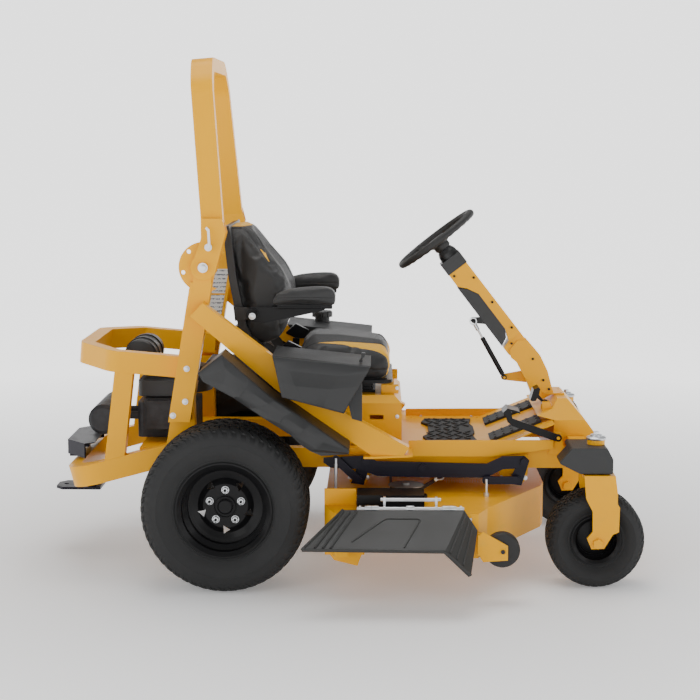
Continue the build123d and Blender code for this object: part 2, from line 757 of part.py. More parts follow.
with BuildPart() as rear_guard:
    for side in (RIGHT, LEFT):
        curtain = [(guard_rear, side * -1), (guard_rear, side * 120), (guard_rear + 78, side * 210),
                   (guard_rear + 82, side * 206), (guard_rear + 4, side * 117), (guard_rear + 4, side * -1)]
        plate(curtain, 392, 442)
    shelf = [(guard_rear, -120), (guard_rear + 78, -210), (guard_rear + 110, -180), (guard_rear + 110, 180),
             (guard_rear + 78, 210), (guard_rear, 120)]
    plate(shelf, 442, 446)
    for y in (-90, 90):
        block((guard_rear + 4, guard_rear + 44), (y - 18, y + 18),
              (lower_loop_top(guard_rear + 44) + fit_gap, 442))
finish([hitch_plate, rear_guard], "hitch_and_guard")


# ---------------------------------------------------------------- engine, exhaust, transaxles

with BuildPart() as engine_block:
    block((engine_x - 110, engine_x + 110), (-120, 120), (engine_base, engine_base + 130))
    fillet(engine_block.edges().filter_by(Axis.Z), 24)
    for side in (RIGHT, LEFT):
        for index in range(7):
            start = 122 + index * 14
            block((engine_x - 70, engine_x + 60), (side * (start - 2), side * (start + 5)),
                  (engine_base + 45, engine_base + 160))
        block((engine_x - 52, engine_x + 42), (side * 118, side * 214), (engine_base + 60, engine_base + 145))
        block((engine_x - 60, engine_x + 50), (side * 211, side * 232), (engine_base + 50, engine_base + 155))

with BuildPart() as engine_shroud:
    low = engine_base + 165
    dome = [(0, 0), (118, 0), (118, 70), (96, 92), (60, 98), (0, 98)]
    turned(dome, (crank_x, 0, low), (0, 0, 1))
    block((engine_x - 96, engine_x + 96), (-190, 190), (low, low + 58))
    fillet(engine_shroud.edges().filter_by(Axis.Z), 20)
    block((engine_x - 80, engine_x + 80), (-112, 112), (engine_base + 130 + fit_gap, low))

with BuildPart() as air_cleaner:
    x, z = -352, 757
    canister = [(0, -120), (52, -120), (60, -112), (62, -60), (62, 104), (56, 112), (24, 118), (0, 118)]
    turned(canister, (x, 0, z), (0, -1, 0))
    block((x + 20, x + 80), (-30, 30), (engine_base + 165 + 98 + fit_gap, z - 30))
    for y in (-50, 40):
        ring = [(61, y), (66, y), (66, y + 16), (61, y + 16)]
        turned(ring, (x, 0, z), (0, -1, 0))
finish([engine_shroud, air_cleaner], "engine_shroud")

with BuildPart() as muffler:
    can = [(0, -170), (44, -170), (56, -160), (56, 160), (44, 170), (0, 170)]
    turned(can, (-486, 0, 528), (0, 1, 0))
    rod((-440, -60, 528), (engine_x - 110, -60, 528), 15)
    rod((-440, 60, 528), (engine_x - 110, 60, 528), 15)
    rod((-520, 120, 495), (-566, 120, 462), 17)
finish([engine_block, muffler], "engine_block")


def transaxle(side):
    near, far = side * 150, side * (rail_y - rail_width / 2 - 1)
    with BuildPart() as drive:
        block((-75, 95), (near, far), (215, 372))
        fillet(drive.edges().filter_by(Axis.Y), 30)
        housing = [(17 + running_gap, 0), (46, 0), (46, 78), (17 + running_gap, 78)]
        turned(housing, (0, far - side * 2, rear_tyre_radius), (0, side, 0))
        rod((0, near - side, rear_tyre_radius), (0, far + side * 90, rear_tyre_radius),
            17 + running_gap, mode=Mode.SUBTRACT)
        for index in range(6):
            x = -55 + index * 26
            block((x, x + 8), (near + side * 8, far - side * 8), (371, 384.6))
        rod((40, side * 210, 372), (40, side * 210, 378), 20)
    return drive


with BuildPart() as crank_pulley:
    groove = [(0, -80), (52, -80), (52, -74), (38, -66), (52, -58), (52, -52), (14, -52), (14, -0.5), (0, -0.5)]
    turned(groove, (crank_x, 0, rail_high - 8), (0, 0, 1))

with BuildPart() as cooling_fan:
    z = engine_base + 165 + 98
    rod((crank_x, 0, z + 0.4), (crank_x, 0, z + 14), 22)
    for index in range(8):
        angle = radians(45 * index)
        blade_plane = Plane(origin=(crank_x, 0, z + 4), x_dir=(cos(angle), sin(angle), 0), z_dir=(0, 0, 1))
        with BuildSketch(blade_plane):
            with Locations((30, 0)):
                Rectangle(30, 5)
        extrude(amount=7)
finish([crank_pulley, cooling_fan], "crankshaft")

# ---------------------------------------------------------------- fenders and consoles

fender_in = 330
fender_out = 642
pod_in = 328
pod_out = 600


def fender(side):
    skin = 5
    outer_in = side * (brace_in + tube_thin + fit_gap)
    lower = [(-64, 743), (36, 690), (140, 619), (233, 560), (266, 528), (300, 505), (338, 489), (432, 495)]
    with BuildPart() as guard:
        outboard = [(-81, 772), (0, 836), (176, 684), (300, 603), (432, 512)] + lower[::-1]
        slab(outboard, outer_in, side * fender_out)
        hollow = [(x, z - 1) for x, z in lower[:-1]]
        inside = [(-62, 762), (0, 812), (172, 668), (296, 588), (400, 520)] + hollow[::-1]
        slab(inside, side * (fender_out - skin), outer_in - side, mode=Mode.SUBTRACT)
        top = [(-81, 772), (-60, 796), (20, 796), (110, 735), (180, 676), (290, 596), (286, 590), (176, 669),
               (105, 729), (18, 789), (-56, 789), (-74, 769)]
        slab(top, side * fender_in, outer_in)
        splash = [(-64, 744), (-81, 772), (-60, 796), (20, 796), (296, 630), (432, 520), (432, 496), (338, 490),
                  (266, 529), (233, 561), (140, 620), (36, 691)]
        slab(splash, side * fender_in, side * (fender_in + skin))
    return guard


def side_pod(side):
    skin = 5
    outline = [(169, 827), (505, 792), (469, 723), (413, 628), (201, 684)]
    inset = [(180, 818), (492, 786), (462, 723), (410, 634), (207, 688)]
    near, far = side * (brace_in + tube_thin + fit_gap), side * pod_out
    upper_in = side * pod_in
    with BuildPart() as pod:
        slab(outline, near, far)
        tub = [(169, 827), (505, 792), (480, 745), (400, 745), (360, 770), (200, 786)]
        slab(tub, upper_in, near)
        tub_hollow = [(180, 819), (492, 785), (474, 751), (402, 751), (362, 776), (200, 792)]
        slab(tub_hollow, upper_in + side * skin, near, mode=Mode.SUBTRACT)
        slab(inset, near, far - side * skin, mode=Mode.SUBTRACT)
        foot = [(475, 723), (475, 590), (440, 600), (426, 660), (442, 690)]
        slab(foot, near, near + side * 60)
        if side == LEFT:
            rod((300, side * 560, 800), (300, side * 560, 832), 30)
            rod((300, side * 560, 790), (300, side * 560, 833), 24, mode=Mode.SUBTRACT)
    return pod


# ---------------------------------------------------------------- seat

seat_lower = seat_pan_z - fit_gap


def suspension_tab(side):
    tab = [(542, seat_box_top + fit_gap), (605, seat_box_top + fit_gap), (605, 668), (542, 668)]
    slab(tab, side * 196, side * 202)
    flange = [(542, seat_box_top + fit_gap), (605, seat_box_top + fit_gap), (605, 640), (542, 640)]
    slab(flange, side * 160, side * 202)


with BuildPart() as seat_brackets:
    both_sides(suspension_tab)
finish([seat_box, seat_brackets], "seat_box")

with BuildPart() as seat_suspension:
    block((250, 520), (-170, 170), (seat_box_top + fit_gap, seat_box_top + 10))
    for index in range(3):
        inset = 8 * (index % 2)
        low = seat_box_top + 10 + index * 8
        block((258 + inset, 512 - inset), (inset - 160, 160 - inset), (low, low + 8))
    block((250, 520), (-165, 165), (seat_box_top + 34, seat_lower))
finish(seat_suspension, "seat_suspension")

with BuildPart() as seat_pan:
    block((cushion_rear + 10, cushion_front - 14), (12 - seat_half, seat_half - 12), (seat_pan_z,
                                                                                      cushion_z - 4))
    fillet(seat_pan.edges().filter_by(Axis.Z), 40)
    block((cushion_rear + 30, cushion_front - 34), (32 - seat_half, seat_half - 32),
          (cushion_z - 4, cushion_z - fit_gap))
    for side in (RIGHT, LEFT):
        ear_outline = [(130, seat_pan_z), (250, seat_pan_z), (250, 700), (176, 760), (150, 775), (124, 760)]
        slab(ear_outline, side * (seat_half + 4), side * (seat_half + 10))
        block((200, 250), (side * (seat_half - 20), side * (seat_half + 10)), (seat_pan_z, cushion_z - 4))
        rod((recline_x, side * (seat_half + 3), recline_z), (recline_x, side * (seat_half + 11), recline_z),
            8 + running_gap, mode=Mode.SUBTRACT)

with BuildPart() as seat_cushion:
    outline = [(cushion_rear + 18, 812), (282, 838), (393, 834), (553, 812), (cushion_front - 8, 790),
               (cushion_front, 750), (cushion_front - 8, cushion_z), (cushion_rear + 60, cushion_z),
               (cushion_rear + 10, 740)]
    slab(outline, -seat_half, seat_half, corner=6)
finish(seat_cushion, "seat_cushion")

with BuildPart() as seat_belt:
    for side in (RIGHT, LEFT):
        webbing = [(165, 800), (206, 838), (258, 812), (240, 780), (212, 778)]
        slab(webbing, side * (seat_half + 16), side * (seat_half + 44), corner=4)
        anchor = [(186, 690), (214, 690), (222, 780), (196, 782)]
        slab(anchor, side * (seat_half + 10), side * (seat_half + 17))
finish([seat_pan, seat_belt], "seat_pan")

back_half = 228

with BuildPart() as backrest_shell:
    outline = [(-34, 1240), (-27, 1200), (-11, 1057), (23, 877), (47, 823), (100, 790), (118, 818.4),
               (73.6, 843.7),
               (51.6, 887.9), (16.6, 1061.9), (0.6, 1200), (-8.5, 1248)]
    slab(outline, -back_half, back_half)
    for side in (RIGHT, LEFT):
        hinge = [(60, 830), (100, 790), (132, 735), (150, 727), (168, 745), (150, 780), (118, 812), (80, 850)]
        slab(hinge, side * (seat_half - 4), side * (seat_half + 3.4))
        rod((recline_x, side * (seat_half + 3), recline_z), (recline_x, side * (seat_half + 14),
                                                             recline_z), 8)
        block((72, 98), (side * (back_half - 2), side * (seat_half - 3)), (804, 824))
        boss = [(0, 0), (24, 0), (24, 20), (0, 20)]
        turned(boss, (arm_pivot_x - 4, side * (back_half + 14), arm_pivot_z), (0, side, 0))
        web = [(12, 905), (arm_pivot_x + 10, 915), (arm_pivot_x + 10, 950), (6, 960)]
        slab(web, side * (back_half + 1), side * (back_half + 14))
        slab([(12, 905), (30, 907), (24, 958), (6, 960)], side * (back_half - 6), side * (back_half + 2))
finish(backrest_shell, "backrest_shell")

with BuildPart() as backrest_cushion:
    outline = [(-8, 1250), (10, 1264), (40, 1258), (60, 1236), (118, 1158), (178, 1090), (208, 1027),
               (214, 960),
               (206, 880), (180, 826), (130, 812), (74, 844), (52, 888), (17, 1062), (1, 1200)]
    slab(outline, -back_half, back_half, corner=5)
    for side in (RIGHT, LEFT):
        shoulder = [(side * 130, 1290), (side * 260, 1290), (side * 260, 1120), (side * 180, 1240)]
        with BuildSketch(Plane.YZ.offset(-60)):
            with BuildLine():
                Polyline(*shoulder, close=True)
            make_face()
        extrude(amount=340, mode=Mode.SUBTRACT)
finish(backrest_cushion, "backrest_cushion")


def armrest(side):
    name = side_names[side]
    inner = side * (back_half + 14 + 20 + 1)
    with BuildPart() as bracket:
        wing = [(58, 932), (66, 906), (120, 902), (240, 926), (330, 946), (340, 952), (340, 960), (120, 958),
                (70, 960)]
        slab(wing, inner, inner + side * 5)
        block((150, 330), (inner, side * (arm_y + 28)), (960.5, 965))
        rod((arm_pivot_x - 4, inner, arm_pivot_z), (arm_pivot_x - 4, inner + side * 14, arm_pivot_z), 22)
    finish(bracket, f"armrest_bracket_{name}")
    with BuildPart() as pad:
        outline = [(150, 965 + fit_gap), (381, 965 + fit_gap), (384, 1010), (372, 1034), (348, 1042),
                   (220, 1034),
                   (165, 1018), (148, 990)]
        slab(outline, side * (arm_y - arm_half), side * (arm_y + arm_half), corner=8)
    finish(pad, f"armrest_pad_{name}")


# ---------------------------------------------------------------- steering column and wheel

column_along = Vector(-sin(radians(column_angle)), 0, cos(radians(column_angle)))
column_across = Vector(cos(radians(column_angle)), 0, sin(radians(column_angle)))


def on_column(along, across):
    """Gives the (x, z) of a point from its distance along and across the upper column."""
    return (knee_x + along * column_along.X + across * column_across.X,
            knee_z + along * column_along.Z + across * column_across.Z)


knee_radius = 46
cheek = 5

with BuildPart() as lower_column:
    for side in (RIGHT, LEFT):
        cheeks = [(knee_x - 40, knee_z - 24), (knee_x - 44, knee_z + 6), (knee_x - 16, knee_z + 42),
                  (knee_x + 20, knee_z + 42), (1137, 753), (1165, 695), (1186, 616), (1186, 611), (1150, 590),
                  (1106, 606), (1085, 660), (1049, 728)]
        slab(cheeks, side * column_half, side * (column_half - cheek))
    spine = [(1128, 748), (1137, 753), (1165, 695), (1186, 616), (1186, 610.4), (1178, 610), (1158, 690)]
    slab(spine, -column_half, column_half)
    throat = [(1106, 606), (1085, 660), (1060, 706), (1066, 710), (1092, 662), (1114, 608)]
    slab(throat, -column_half, column_half)
    arm = [(strut_low[0] - 6, strut_low[1] + 10), (1080, 692), (1096, 668), (1088, 646),
           (strut_low[0] - 2, strut_low[1] - 12)]
    slab(arm, 5, 11)
    slab([(1072, 690), (1096, 668), (1088, 646), (1074, 656)], 5, column_half - 1)
    rod((strut_low[0], 5, strut_low[1]), (strut_low[0], 11, strut_low[1]), 12)
    rod((strut_low[0], -18, strut_low[1]), (strut_low[0], 6, strut_low[1]), 5)
    rod((knee_x, -column_half, knee_z), (knee_x, column_half, knee_z), 16)
    block((1150, 1226), (-58, 58), (609 + fit_gap, 615))
    both_sides(lambda side: rod((1214, side * 46, 608), (1214, side * 46, 616), 4))

with BuildPart() as upper_column:
    half = column_half - cheek - 0.5
    tail = [on_column(-20, -26), on_column(-30, 0), on_column(-20, 26), on_column(20, 39), on_column(60, 39),
            on_column(60, -46), on_column(20, -46)]
    slab(tail, -half, half)
    shaft = [on_column(58, -48), on_column(58, 39), on_column(column_length, 37), on_column(column_length, -44)]
    slab(shaft, -column_half, column_half)
    recess = [on_column(44, -60), on_column(62, -14), on_column(104, 2), on_column(270, 2), on_column(312, -20),
              on_column(355, -60)]
    slab(recess, -column_half - 1, column_half + 1, mode=Mode.SUBTRACT)
    rod((knee_x, -half - 1, knee_z), (knee_x, half + 1, knee_z), 16 + running_gap, mode=Mode.SUBTRACT)
finish(upper_column, "upper_column")

with BuildPart() as column_panel:
    panel = [on_column(60, -47), on_column(76, -15), on_column(106, 1.7), on_column(269, 1.7),
             on_column(309, -20),
             on_column(333, -47)]
    slab(panel, -column_half + 0.5, column_half - 0.5)
    tab = [on_column(150, -40), on_column(186, -40), (strut_high[0] + 13, strut_high[1] + 12),
           (strut_high[0] - 4, strut_high[1] + 13), (strut_high[0] - 12, strut_high[1]),
           (strut_high[0] + 2, strut_high[1] - 10)]
    slab(tab, 14, 22)
    ball = [(ball_radius * cos(radians(turn)), ball_radius * sin(radians(turn))) for turn in range(-90, 55, 18)]
    stud = [(4, 6), (4, 20), (0, 20)]
    turned(ball + stud, (strut_high[0], -6, strut_high[1]), (0, 1, 0))

with BuildPart() as column_collar:
    collar = [on_column(column_length + fit_gap, -46), on_column(column_length + fit_gap, 40),
              on_column(column_length + collar_length, 40), on_column(column_length + collar_length, -46)]
    slab(collar, -column_half - 3, column_half + 3)
    neck_centre = on_column(column_length + collar_length, 0)
    neck = [(0, -4), (37, -4), (37, 6), (35, 20), (28, 34), (0, 34)]
    turned(neck, (neck_centre[0], 0, neck_centre[1]), column_along)
finish([column_panel, column_collar], "column_trim")

wheel_x, wheel_z = on_column(wheel_distance, 0)

with BuildPart() as steering_wheel:
    with BuildSketch(Plane(origin=(wheel_x, 0, wheel_z), x_dir=column_across, z_dir=(0, -1, 0))):
        with Locations((wheel_radius - grip_radius, 0)):
            Circle(grip_radius)
    revolve(axis=Axis((wheel_x, 0, wheel_z), column_along))
    hub = [(0, -49), (24, -49), (30, -42), (30, -26), (44, -18), (44, -6), (36, 0), (0, 2)]
    turned(hub, (wheel_x, 0, wheel_z), column_along)
    for angle in (90, 210, 330):
        turn = radians(angle)
        outward = Vector(0, 1, 0) * cos(turn) + column_across * sin(turn)
        start = Vector(wheel_x, 0, wheel_z) + outward * 38 - column_along * 12
        end = Vector(wheel_x, 0, wheel_z) + outward * (wheel_radius - grip_radius)
        sideways = (end - start).cross(column_along)
        with BuildSketch(Plane(origin=start, x_dir=sideways, z_dir=end - start)):
            RectangleRounded(34, 9, 4)
        extrude(amount=(end - start).length)
finish(steering_wheel, "steering_wheel")

strut_run = Vector(strut_high[0] - strut_low[0], 0, strut_high[1] - strut_low[1])
strut_unit = strut_run.normalized()
strut_y = -6


def on_strut(distance):
    return Vector(strut_low[0], strut_y, strut_low[1]) + strut_unit * distance


with BuildPart() as strut_cylinder:
    rod(on_strut(14), on_strut(172), 9)
    rod(on_strut(14), on_strut(182), 4 + 0.4, mode=Mode.SUBTRACT)
    rod(on_strut(8), on_strut(20), 6)
    rod((strut_low[0], -18, strut_low[1]), (strut_low[0], 2, strut_low[1]), 9)
    rod((strut_low[0], -19, strut_low[1]), (strut_low[0], 3, strut_low[1]), 5 + running_gap,
        mode=Mode.SUBTRACT)
finish(strut_cylinder, "strut_cylinder")

with BuildPart() as strut_rod:
    length = strut_run.length
    rod(on_strut(90), on_strut(length - 12), 4)
    rod(on_strut(length - 38), on_strut(length - 13), 7)
    eye = Vector(strut_high[0], 0, strut_high[1])
    rod((eye.X, -13, eye.Z), (eye.X, 1, eye.Z), 14)
    rod((eye.X, -14, eye.Z), (eye.X, 2, eye.Z), 10.5, mode=Mode.SUBTRACT)
finish(strut_rod, "strut_rod")


# ---------------------------------------------------------------- pedals and controls

pedal_y = -150
pedal_x = 1146
pedal_z = 592


with BuildPart() as pedal_brackets:
    for edge in (-1, 1):
        outline = [(pedal_x - 14, 566), (pedal_x + 22, 580), (pedal_x + 14, 602), (pedal_x - 14, 602)]
        start = pedal_y + edge * 18
        slab(outline, start, start + edge * 5)
    rod((pedal_x, pedal_y - 23, pedal_z), (pedal_x, pedal_y + 23, pedal_z), 6)
finish([front_body, lower_column, pedal_brackets], "front_body")


with BuildPart() as drive_pedal:
    y = pedal_y
    rod((pedal_x, y - 16, pedal_z), (pedal_x, y + 16, pedal_z), 13)
    arm = [(pedal_x + 4, pedal_z - 8), (pedal_x - 6, pedal_z + 10), (1122, 624), (1112, 614)]
    slab(arm, y - 6, y + 6)
    pad = [(1096, 604), (1088, 608), (1100, 648), (1117, 656), (1124, 650), (1119, 626), (1108, 606)]
    slab(pad, y - 36, y + 36, corner=2)
    rod((pedal_x, y - 17, pedal_z), (pedal_x, y + 17, pedal_z), 6 + running_gap, mode=Mode.SUBTRACT)
finish(drive_pedal, "drive_pedal")

with BuildPart() as deck_lift_pedal:
    near, far = -floor_half - 12, -floor_half - 4
    x, z = lift_pedal_pivot
    arm = [(x + 11, z - 6), (x - 10, z - 12), (1008, 544), (992, 558), (982, 589), (990, 606), (1002, 604),
           (1010, 570), (x + 6, z + 10)]
    slab(arm, near, far)
    pad = [(976, 590), (992, 606), (1036, 594), (1038, 587), (996, 598), (982, 584)]
    slab(pad, near, far + 90)
    rod((x, near - 3, z), (x, far + 3, z), 13)
    rod((x, near - 4, z), (x, far + 4, z), 6 + running_gap, mode=Mode.SUBTRACT)
finish(deck_lift_pedal, "deck_lift_pedal")

with BuildPart() as throttle_lever:
    x, y = 471, -540
    z = 827 - (x - 6 - 169) * 35 / 336 + fit_gap
    rod((x, y - 5, z + 6), (x, y + 5, z + 6), 6)
    slab([(x - 3, z + 6), (x + 3, z + 6), (x + 9, z + 22), (x + 3, z + 24)], y - 3, y + 3)
    slab([(x + 1, z + 18), (x + 12, z + 18), (x + 16, z + 34), (x + 2, z + 34)], y - 8, y + 8, corner=3)
finish(throttle_lever, "throttle_lever")

with BuildPart() as fuel_cap:
    cap = [(0, 0), (42, 0), (42, 18), (38, 24), (0, 26)]
    turned(cap, (300, 560, 832 + fit_gap), (0, 0, 1))
    with BuildSketch(Plane.XY.offset(830)):
        with Locations((300, 560)):
            with PolarLocations(43, 12):
                Circle(3.5)
    extrude(amount=24, mode=Mode.SUBTRACT)
finish(fuel_cap, "fuel_cap")


# ---------------------------------------------------------------- cutting deck

deck_outline = [(deck_rear, -560), (deck_rear + 40, -deck_half), (deck_side_front, -deck_half),
                (deck_side_front + 36, -600), (deck_front - 14, -deck_front_half), (deck_front,
                                                                                    -deck_front_half + 60),
                (deck_front, deck_front_half - 60), (deck_front - 14,
                                                     deck_front_half), (deck_side_front + 36, 600),
                (deck_side_front, deck_half), (deck_rear + 40, deck_half), (deck_rear, 560)]
deck_sheet = 5
spindle_places = [(spindle_side_x, -spindle_side_y), (spindle_middle_x, 0), (spindle_side_x, spindle_side_y)]
spindle_names = ["right", "middle", "left"]

with BuildPart() as deck_shell:
    plate(deck_outline, deck_low, deck_top)
    with BuildSketch(Plane.XY.offset(deck_low - 1)) as inside:
        with BuildLine():
            Polyline(*deck_outline, close=True)
        make_face()
        offset(amount=-deck_sheet)
    extrude(amount=deck_top - deck_low - deck_sheet + 1, mode=Mode.SUBTRACT)
    block((430, 850), (-deck_half - 1, -deck_half + deck_sheet + 1), (deck_low - 1, deck_top - 14),
          mode=Mode.SUBTRACT)
    for side in (RIGHT, LEFT):
        baffle = [(deck_rear + 3, 170), (deck_rear + 36, 126), (461, 106), (477, 150), (430, 156)]
        slab(baffle, side * (deck_half - 44), side * (deck_half - 50))
        block((deck_rear + 4, deck_rear + 140), (side * (deck_half - 50), side * (deck_half - 44)), (145, 172))
        block((deck_rear, deck_rear + 110), (side * 556, side * 562), (deck_top, 358))
        roller_ear = [(876, 238), (884, 248), (951, 210), (970, 199), (970, 149), (887, 143), (876, 160)]
        slab(roller_ear, side * (deck_half + 24 + 16), side * (deck_half + 24 + 10))
        block((862, 870), (side * (deck_half - 2), side * (deck_half + 6)), (165, 236))
        block((868, 884), (side * (deck_half + 2), side * (deck_half + 40)), (165, 236))
        rod((roller_x, side * (deck_half + 33), roller_z), (roller_x, side * (deck_half + 41), roller_z),
            7 + running_gap,
            mode=Mode.SUBTRACT)
    for x, y in spindle_places:
        rod((x, y, deck_top - deck_sheet - 1), (x, y, deck_top + 1), 44, mode=Mode.SUBTRACT)
finish(deck_shell, "deck_shell")

with BuildPart() as spindle_housings:
    for x, y in spindle_places:
        bore = 13 + running_gap
        body = [(bore, -70), (38, -70), (43.5, -5), (43.5, 0.3), (76, 0.3), (76, 9), (42, 11), (36, 22),
                (bore, 22)]
        turned(body, (x, y, deck_top), (0, 0, 1))
        with BuildSketch(Plane.XY.offset(deck_top + 9)):
            with Locations((x, y)):
                with PolarLocations(64, 6):
                    RegularPolygon(radius=8, side_count=6)
        extrude(amount=6)

for name, (x, y) in zip(spindle_names, spindle_places):
    with BuildPart() as spindle:
        shaft = [(0, blade_z - deck_top), (13, blade_z - deck_top), (13, 23), (62, 24), (62, 28),
                 (pulley_groove, 29),
                 (pulley_groove, 43), (62, 44), (62, 48), (14, 48), (14, 54), (0, 56)]
        turned(shaft, (x, y, deck_top), (0, 0, 1))
        turned([(13, -100), (30, -100), (30, -80), (13, -80)], (x, y, deck_top), (0, 0, 1))
    with BuildPart() as blade:
        block((x - 32, x + 32), (y - blade_radius + 8, y + blade_radius - 8), (blade_z, blade_z + 6))
        for turn in (-1, 1):
            wing = [(x - turn * 32, blade_z), (x - turn * 32, blade_z + 6), (x - turn * 46, blade_z + 26),
                    (x - turn * 50, blade_z + 24), (x - turn * 38, blade_z)]
            slab(wing, y + turn * (blade_radius - 90), y + turn * (blade_radius - 14))
        rod((x, y, blade_z - 1), (x, y, blade_z + 7), 13, mode=Mode.SUBTRACT)
        with BuildSketch(Plane.XY.offset(blade_z - 13)):
            with Locations((x, y)):
                RegularPolygon(radius=20, side_count=6)
        extrude(amount=13 - fit_gap)
    finish([spindle, blade], f"spindle_{name}")

with BuildPart() as deck_belt:
    with BuildSketch(Plane.XY.offset(deck_top + 31)):
        with BuildLine():
            Polyline(*[(x, y) for x, y in spindle_places], close=True)
        make_face()
        offset(amount=pulley_groove + 10)
        with BuildSketch(mode=Mode.SUBTRACT):
            with BuildLine():
                Polyline(*[(x, y) for x, y in spindle_places], close=True)
            make_face()
            offset(amount=pulley_groove + fit_gap)
    extrude(amount=10)

with BuildPart() as belt_covers:
    for side in (RIGHT, LEFT):
        block((459, 690), (side * 520, side * 640), (deck_top, deck_top + 52))
        block((462, 687), (side * 515, side * 637), (deck_top - 1, deck_top + 48), mode=Mode.SUBTRACT)
finish([spindle_housings, belt_covers, deck_belt], "deck_drive")

hinge_plates = (470, 553, 729, 812)
hinge_rod = 6

with BuildPart() as chute_hinge:
    for x in hinge_plates:
        block((x - 3, x + 3), (-chute_hinge_y - 8, -deck_half + 40), (deck_top, chute_hinge_z))
        rod((x - 3, -chute_hinge_y, chute_hinge_z), (x + 3, -chute_hinge_y, chute_hinge_z), 10)
    rod((hinge_plates[0] - 10, -chute_hinge_y, chute_hinge_z), (hinge_plates[-1] + 10, -chute_hinge_y,
                                                                chute_hinge_z),
        hinge_rod)
    block((553, 735), (-deck_half + 8, -deck_half + 40), (deck_top, deck_top + 10))
    for x in hinge_plates[1:3]:
        block((x - 4, x + 4), (-deck_half + 10, -deck_half + 30), (deck_top, chute_hinge_z + 34))
    rod((540, -deck_half + 20, chute_hinge_z + 24), (745, -deck_half + 20, chute_hinge_z + 24), 6)

chute_skin = 7

with BuildPart() as discharge_chute:
    inner_edge, outer_edge = -chute_hinge_y - 12, -chute_reach
    top = chute_hinge_z - 2
    inner_line = [(413, top), (823, top), (868, top - 69), (861, top - 73), (819, top - chute_skin),
                  (413, top - chute_skin)]
    outer_line = [(281, 222), (752, 218), (838, 138), (830, 132), (748, 211), (281, 215)]
    for offset_y, line in ((inner_edge, inner_line), (outer_edge, outer_line)):
        with BuildSketch(Plane.XZ.offset(-offset_y)):
            with BuildLine():
                Polyline(*line, close=True)
            make_face()
    loft(ruled=True)
    for x in (500, 520, 640, 762, 782):
        block((x - 8, x + 8), (inner_edge - 2, -chute_hinge_y), (top - chute_skin, top))
        rod((x - 8, -chute_hinge_y, chute_hinge_z), (x + 8, -chute_hinge_y, chute_hinge_z), 10)
    rod((hinge_plates[0], -chute_hinge_y, chute_hinge_z), (hinge_plates[-1], -chute_hinge_y, chute_hinge_z),
        hinge_rod + running_gap, mode=Mode.SUBTRACT)
finish(discharge_chute, "discharge_chute")


def anti_scalp(side):
    y = side * (deck_half + 4)
    with BuildPart() as roller:
        wheel = [(0, -26), (40, -26), (56, -24), (roller_radius, -14), (roller_radius, 14), (56, 24), (40, 26),
                 (0, 26)]
        turned(wheel, (roller_x, y, roller_z), (0, side, 0))
        rod((roller_x, y - side * 26, roller_z), (roller_x, y + side * 42, roller_z), 7)
    finish(roller, f"anti_scalp_wheel_{side_names[side]}")


# ---------------------------------------------------------------- lift linkage

lift_places = {"front": (lift_pivot_x, 180), "rear": (rear_lift_x, 137)}
crank_gap = 1


def crank_pin(x):
    """Gives the (x, z) of the pin that joins a lift crank to the bar."""
    return x + crank_throw[0], lift_pivot_z + crank_throw[1]


def arm_tip(x, angle):
    """Gives the (x, z) of the end of a crank's hanger arm."""
    return x + lift_arm * cos(radians(angle)), lift_pivot_z + lift_arm * sin(radians(angle))


def lift_crank(x, angle):
    pin_x, pin_z = crank_pin(x)
    tip_x, tip_z = arm_tip(x, angle)
    across = Vector(-(tip_z - lift_pivot_z), 0, tip_x - x).normalized() * 14
    with BuildPart() as crank:
        rod((x, -hanger_y - 4, lift_pivot_z), (x, hanger_y + 4, lift_pivot_z), shaft_radius)
        for side in (RIGHT, LEFT):
            lobe = [(x - 26, lift_pivot_z - 18), (x + 20, lift_pivot_z - 24), (pin_x + 20, pin_z + 2),
                    (pin_x + 4, pin_z + 18), (pin_x - 18, pin_z + 8)]
            bar_face = lift_bar_y - 4 - crank_gap
            slab(lobe, side * bar_face, side * (bar_face - 8))
            arm = [(x - across.X, lift_pivot_z - across.Z), (tip_x - across.X, tip_z - across.Z),
                   (tip_x + across.X, tip_z + across.Z), (x + across.X, lift_pivot_z + across.Z)]
            slab(arm, side * (hanger_y - 4), side * (hanger_y + 4))
            rod((tip_x, side * (hanger_y - 4), tip_z), (tip_x, side * (hanger_y + 4), tip_z), 14)
            rod((pin_x, side * bar_face, pin_z), (pin_x, side * (lift_bar_y + 4 + crank_gap), pin_z), 8)
            bolt((pin_x, side * (lift_bar_y + 4 + crank_gap), pin_z), (0, side, 0), 8, 2)
    return crank


def lift_bar(side):
    with BuildPart() as bar:
        front, rear = crank_pin(lift_pivot_x), crank_pin(rear_lift_x)
        outline = [(336, 415), (361, 396), (455, 392), (530, 366), (720, 362), (917, 362), (975, 392),
                   (front[0], 398), (1066, 414), (1066, 428), (front[0], 441), (973, 439), (917, 412),
                   (rear[0] + 40, 420), (rear[0], 440), (336, 432)]
        slab(outline, side * (lift_bar_y - 4), side * (lift_bar_y + 4))
        for x, z in (front, rear):
            rod((x, side * (lift_bar_y - 5), z), (x, side * (lift_bar_y + 5), z), 8 + running_gap,
                mode=Mode.SUBTRACT)
        bolt((689, side * (lift_bar_y + 4), 398), (0, side, 0), 8, 2)
    return bar


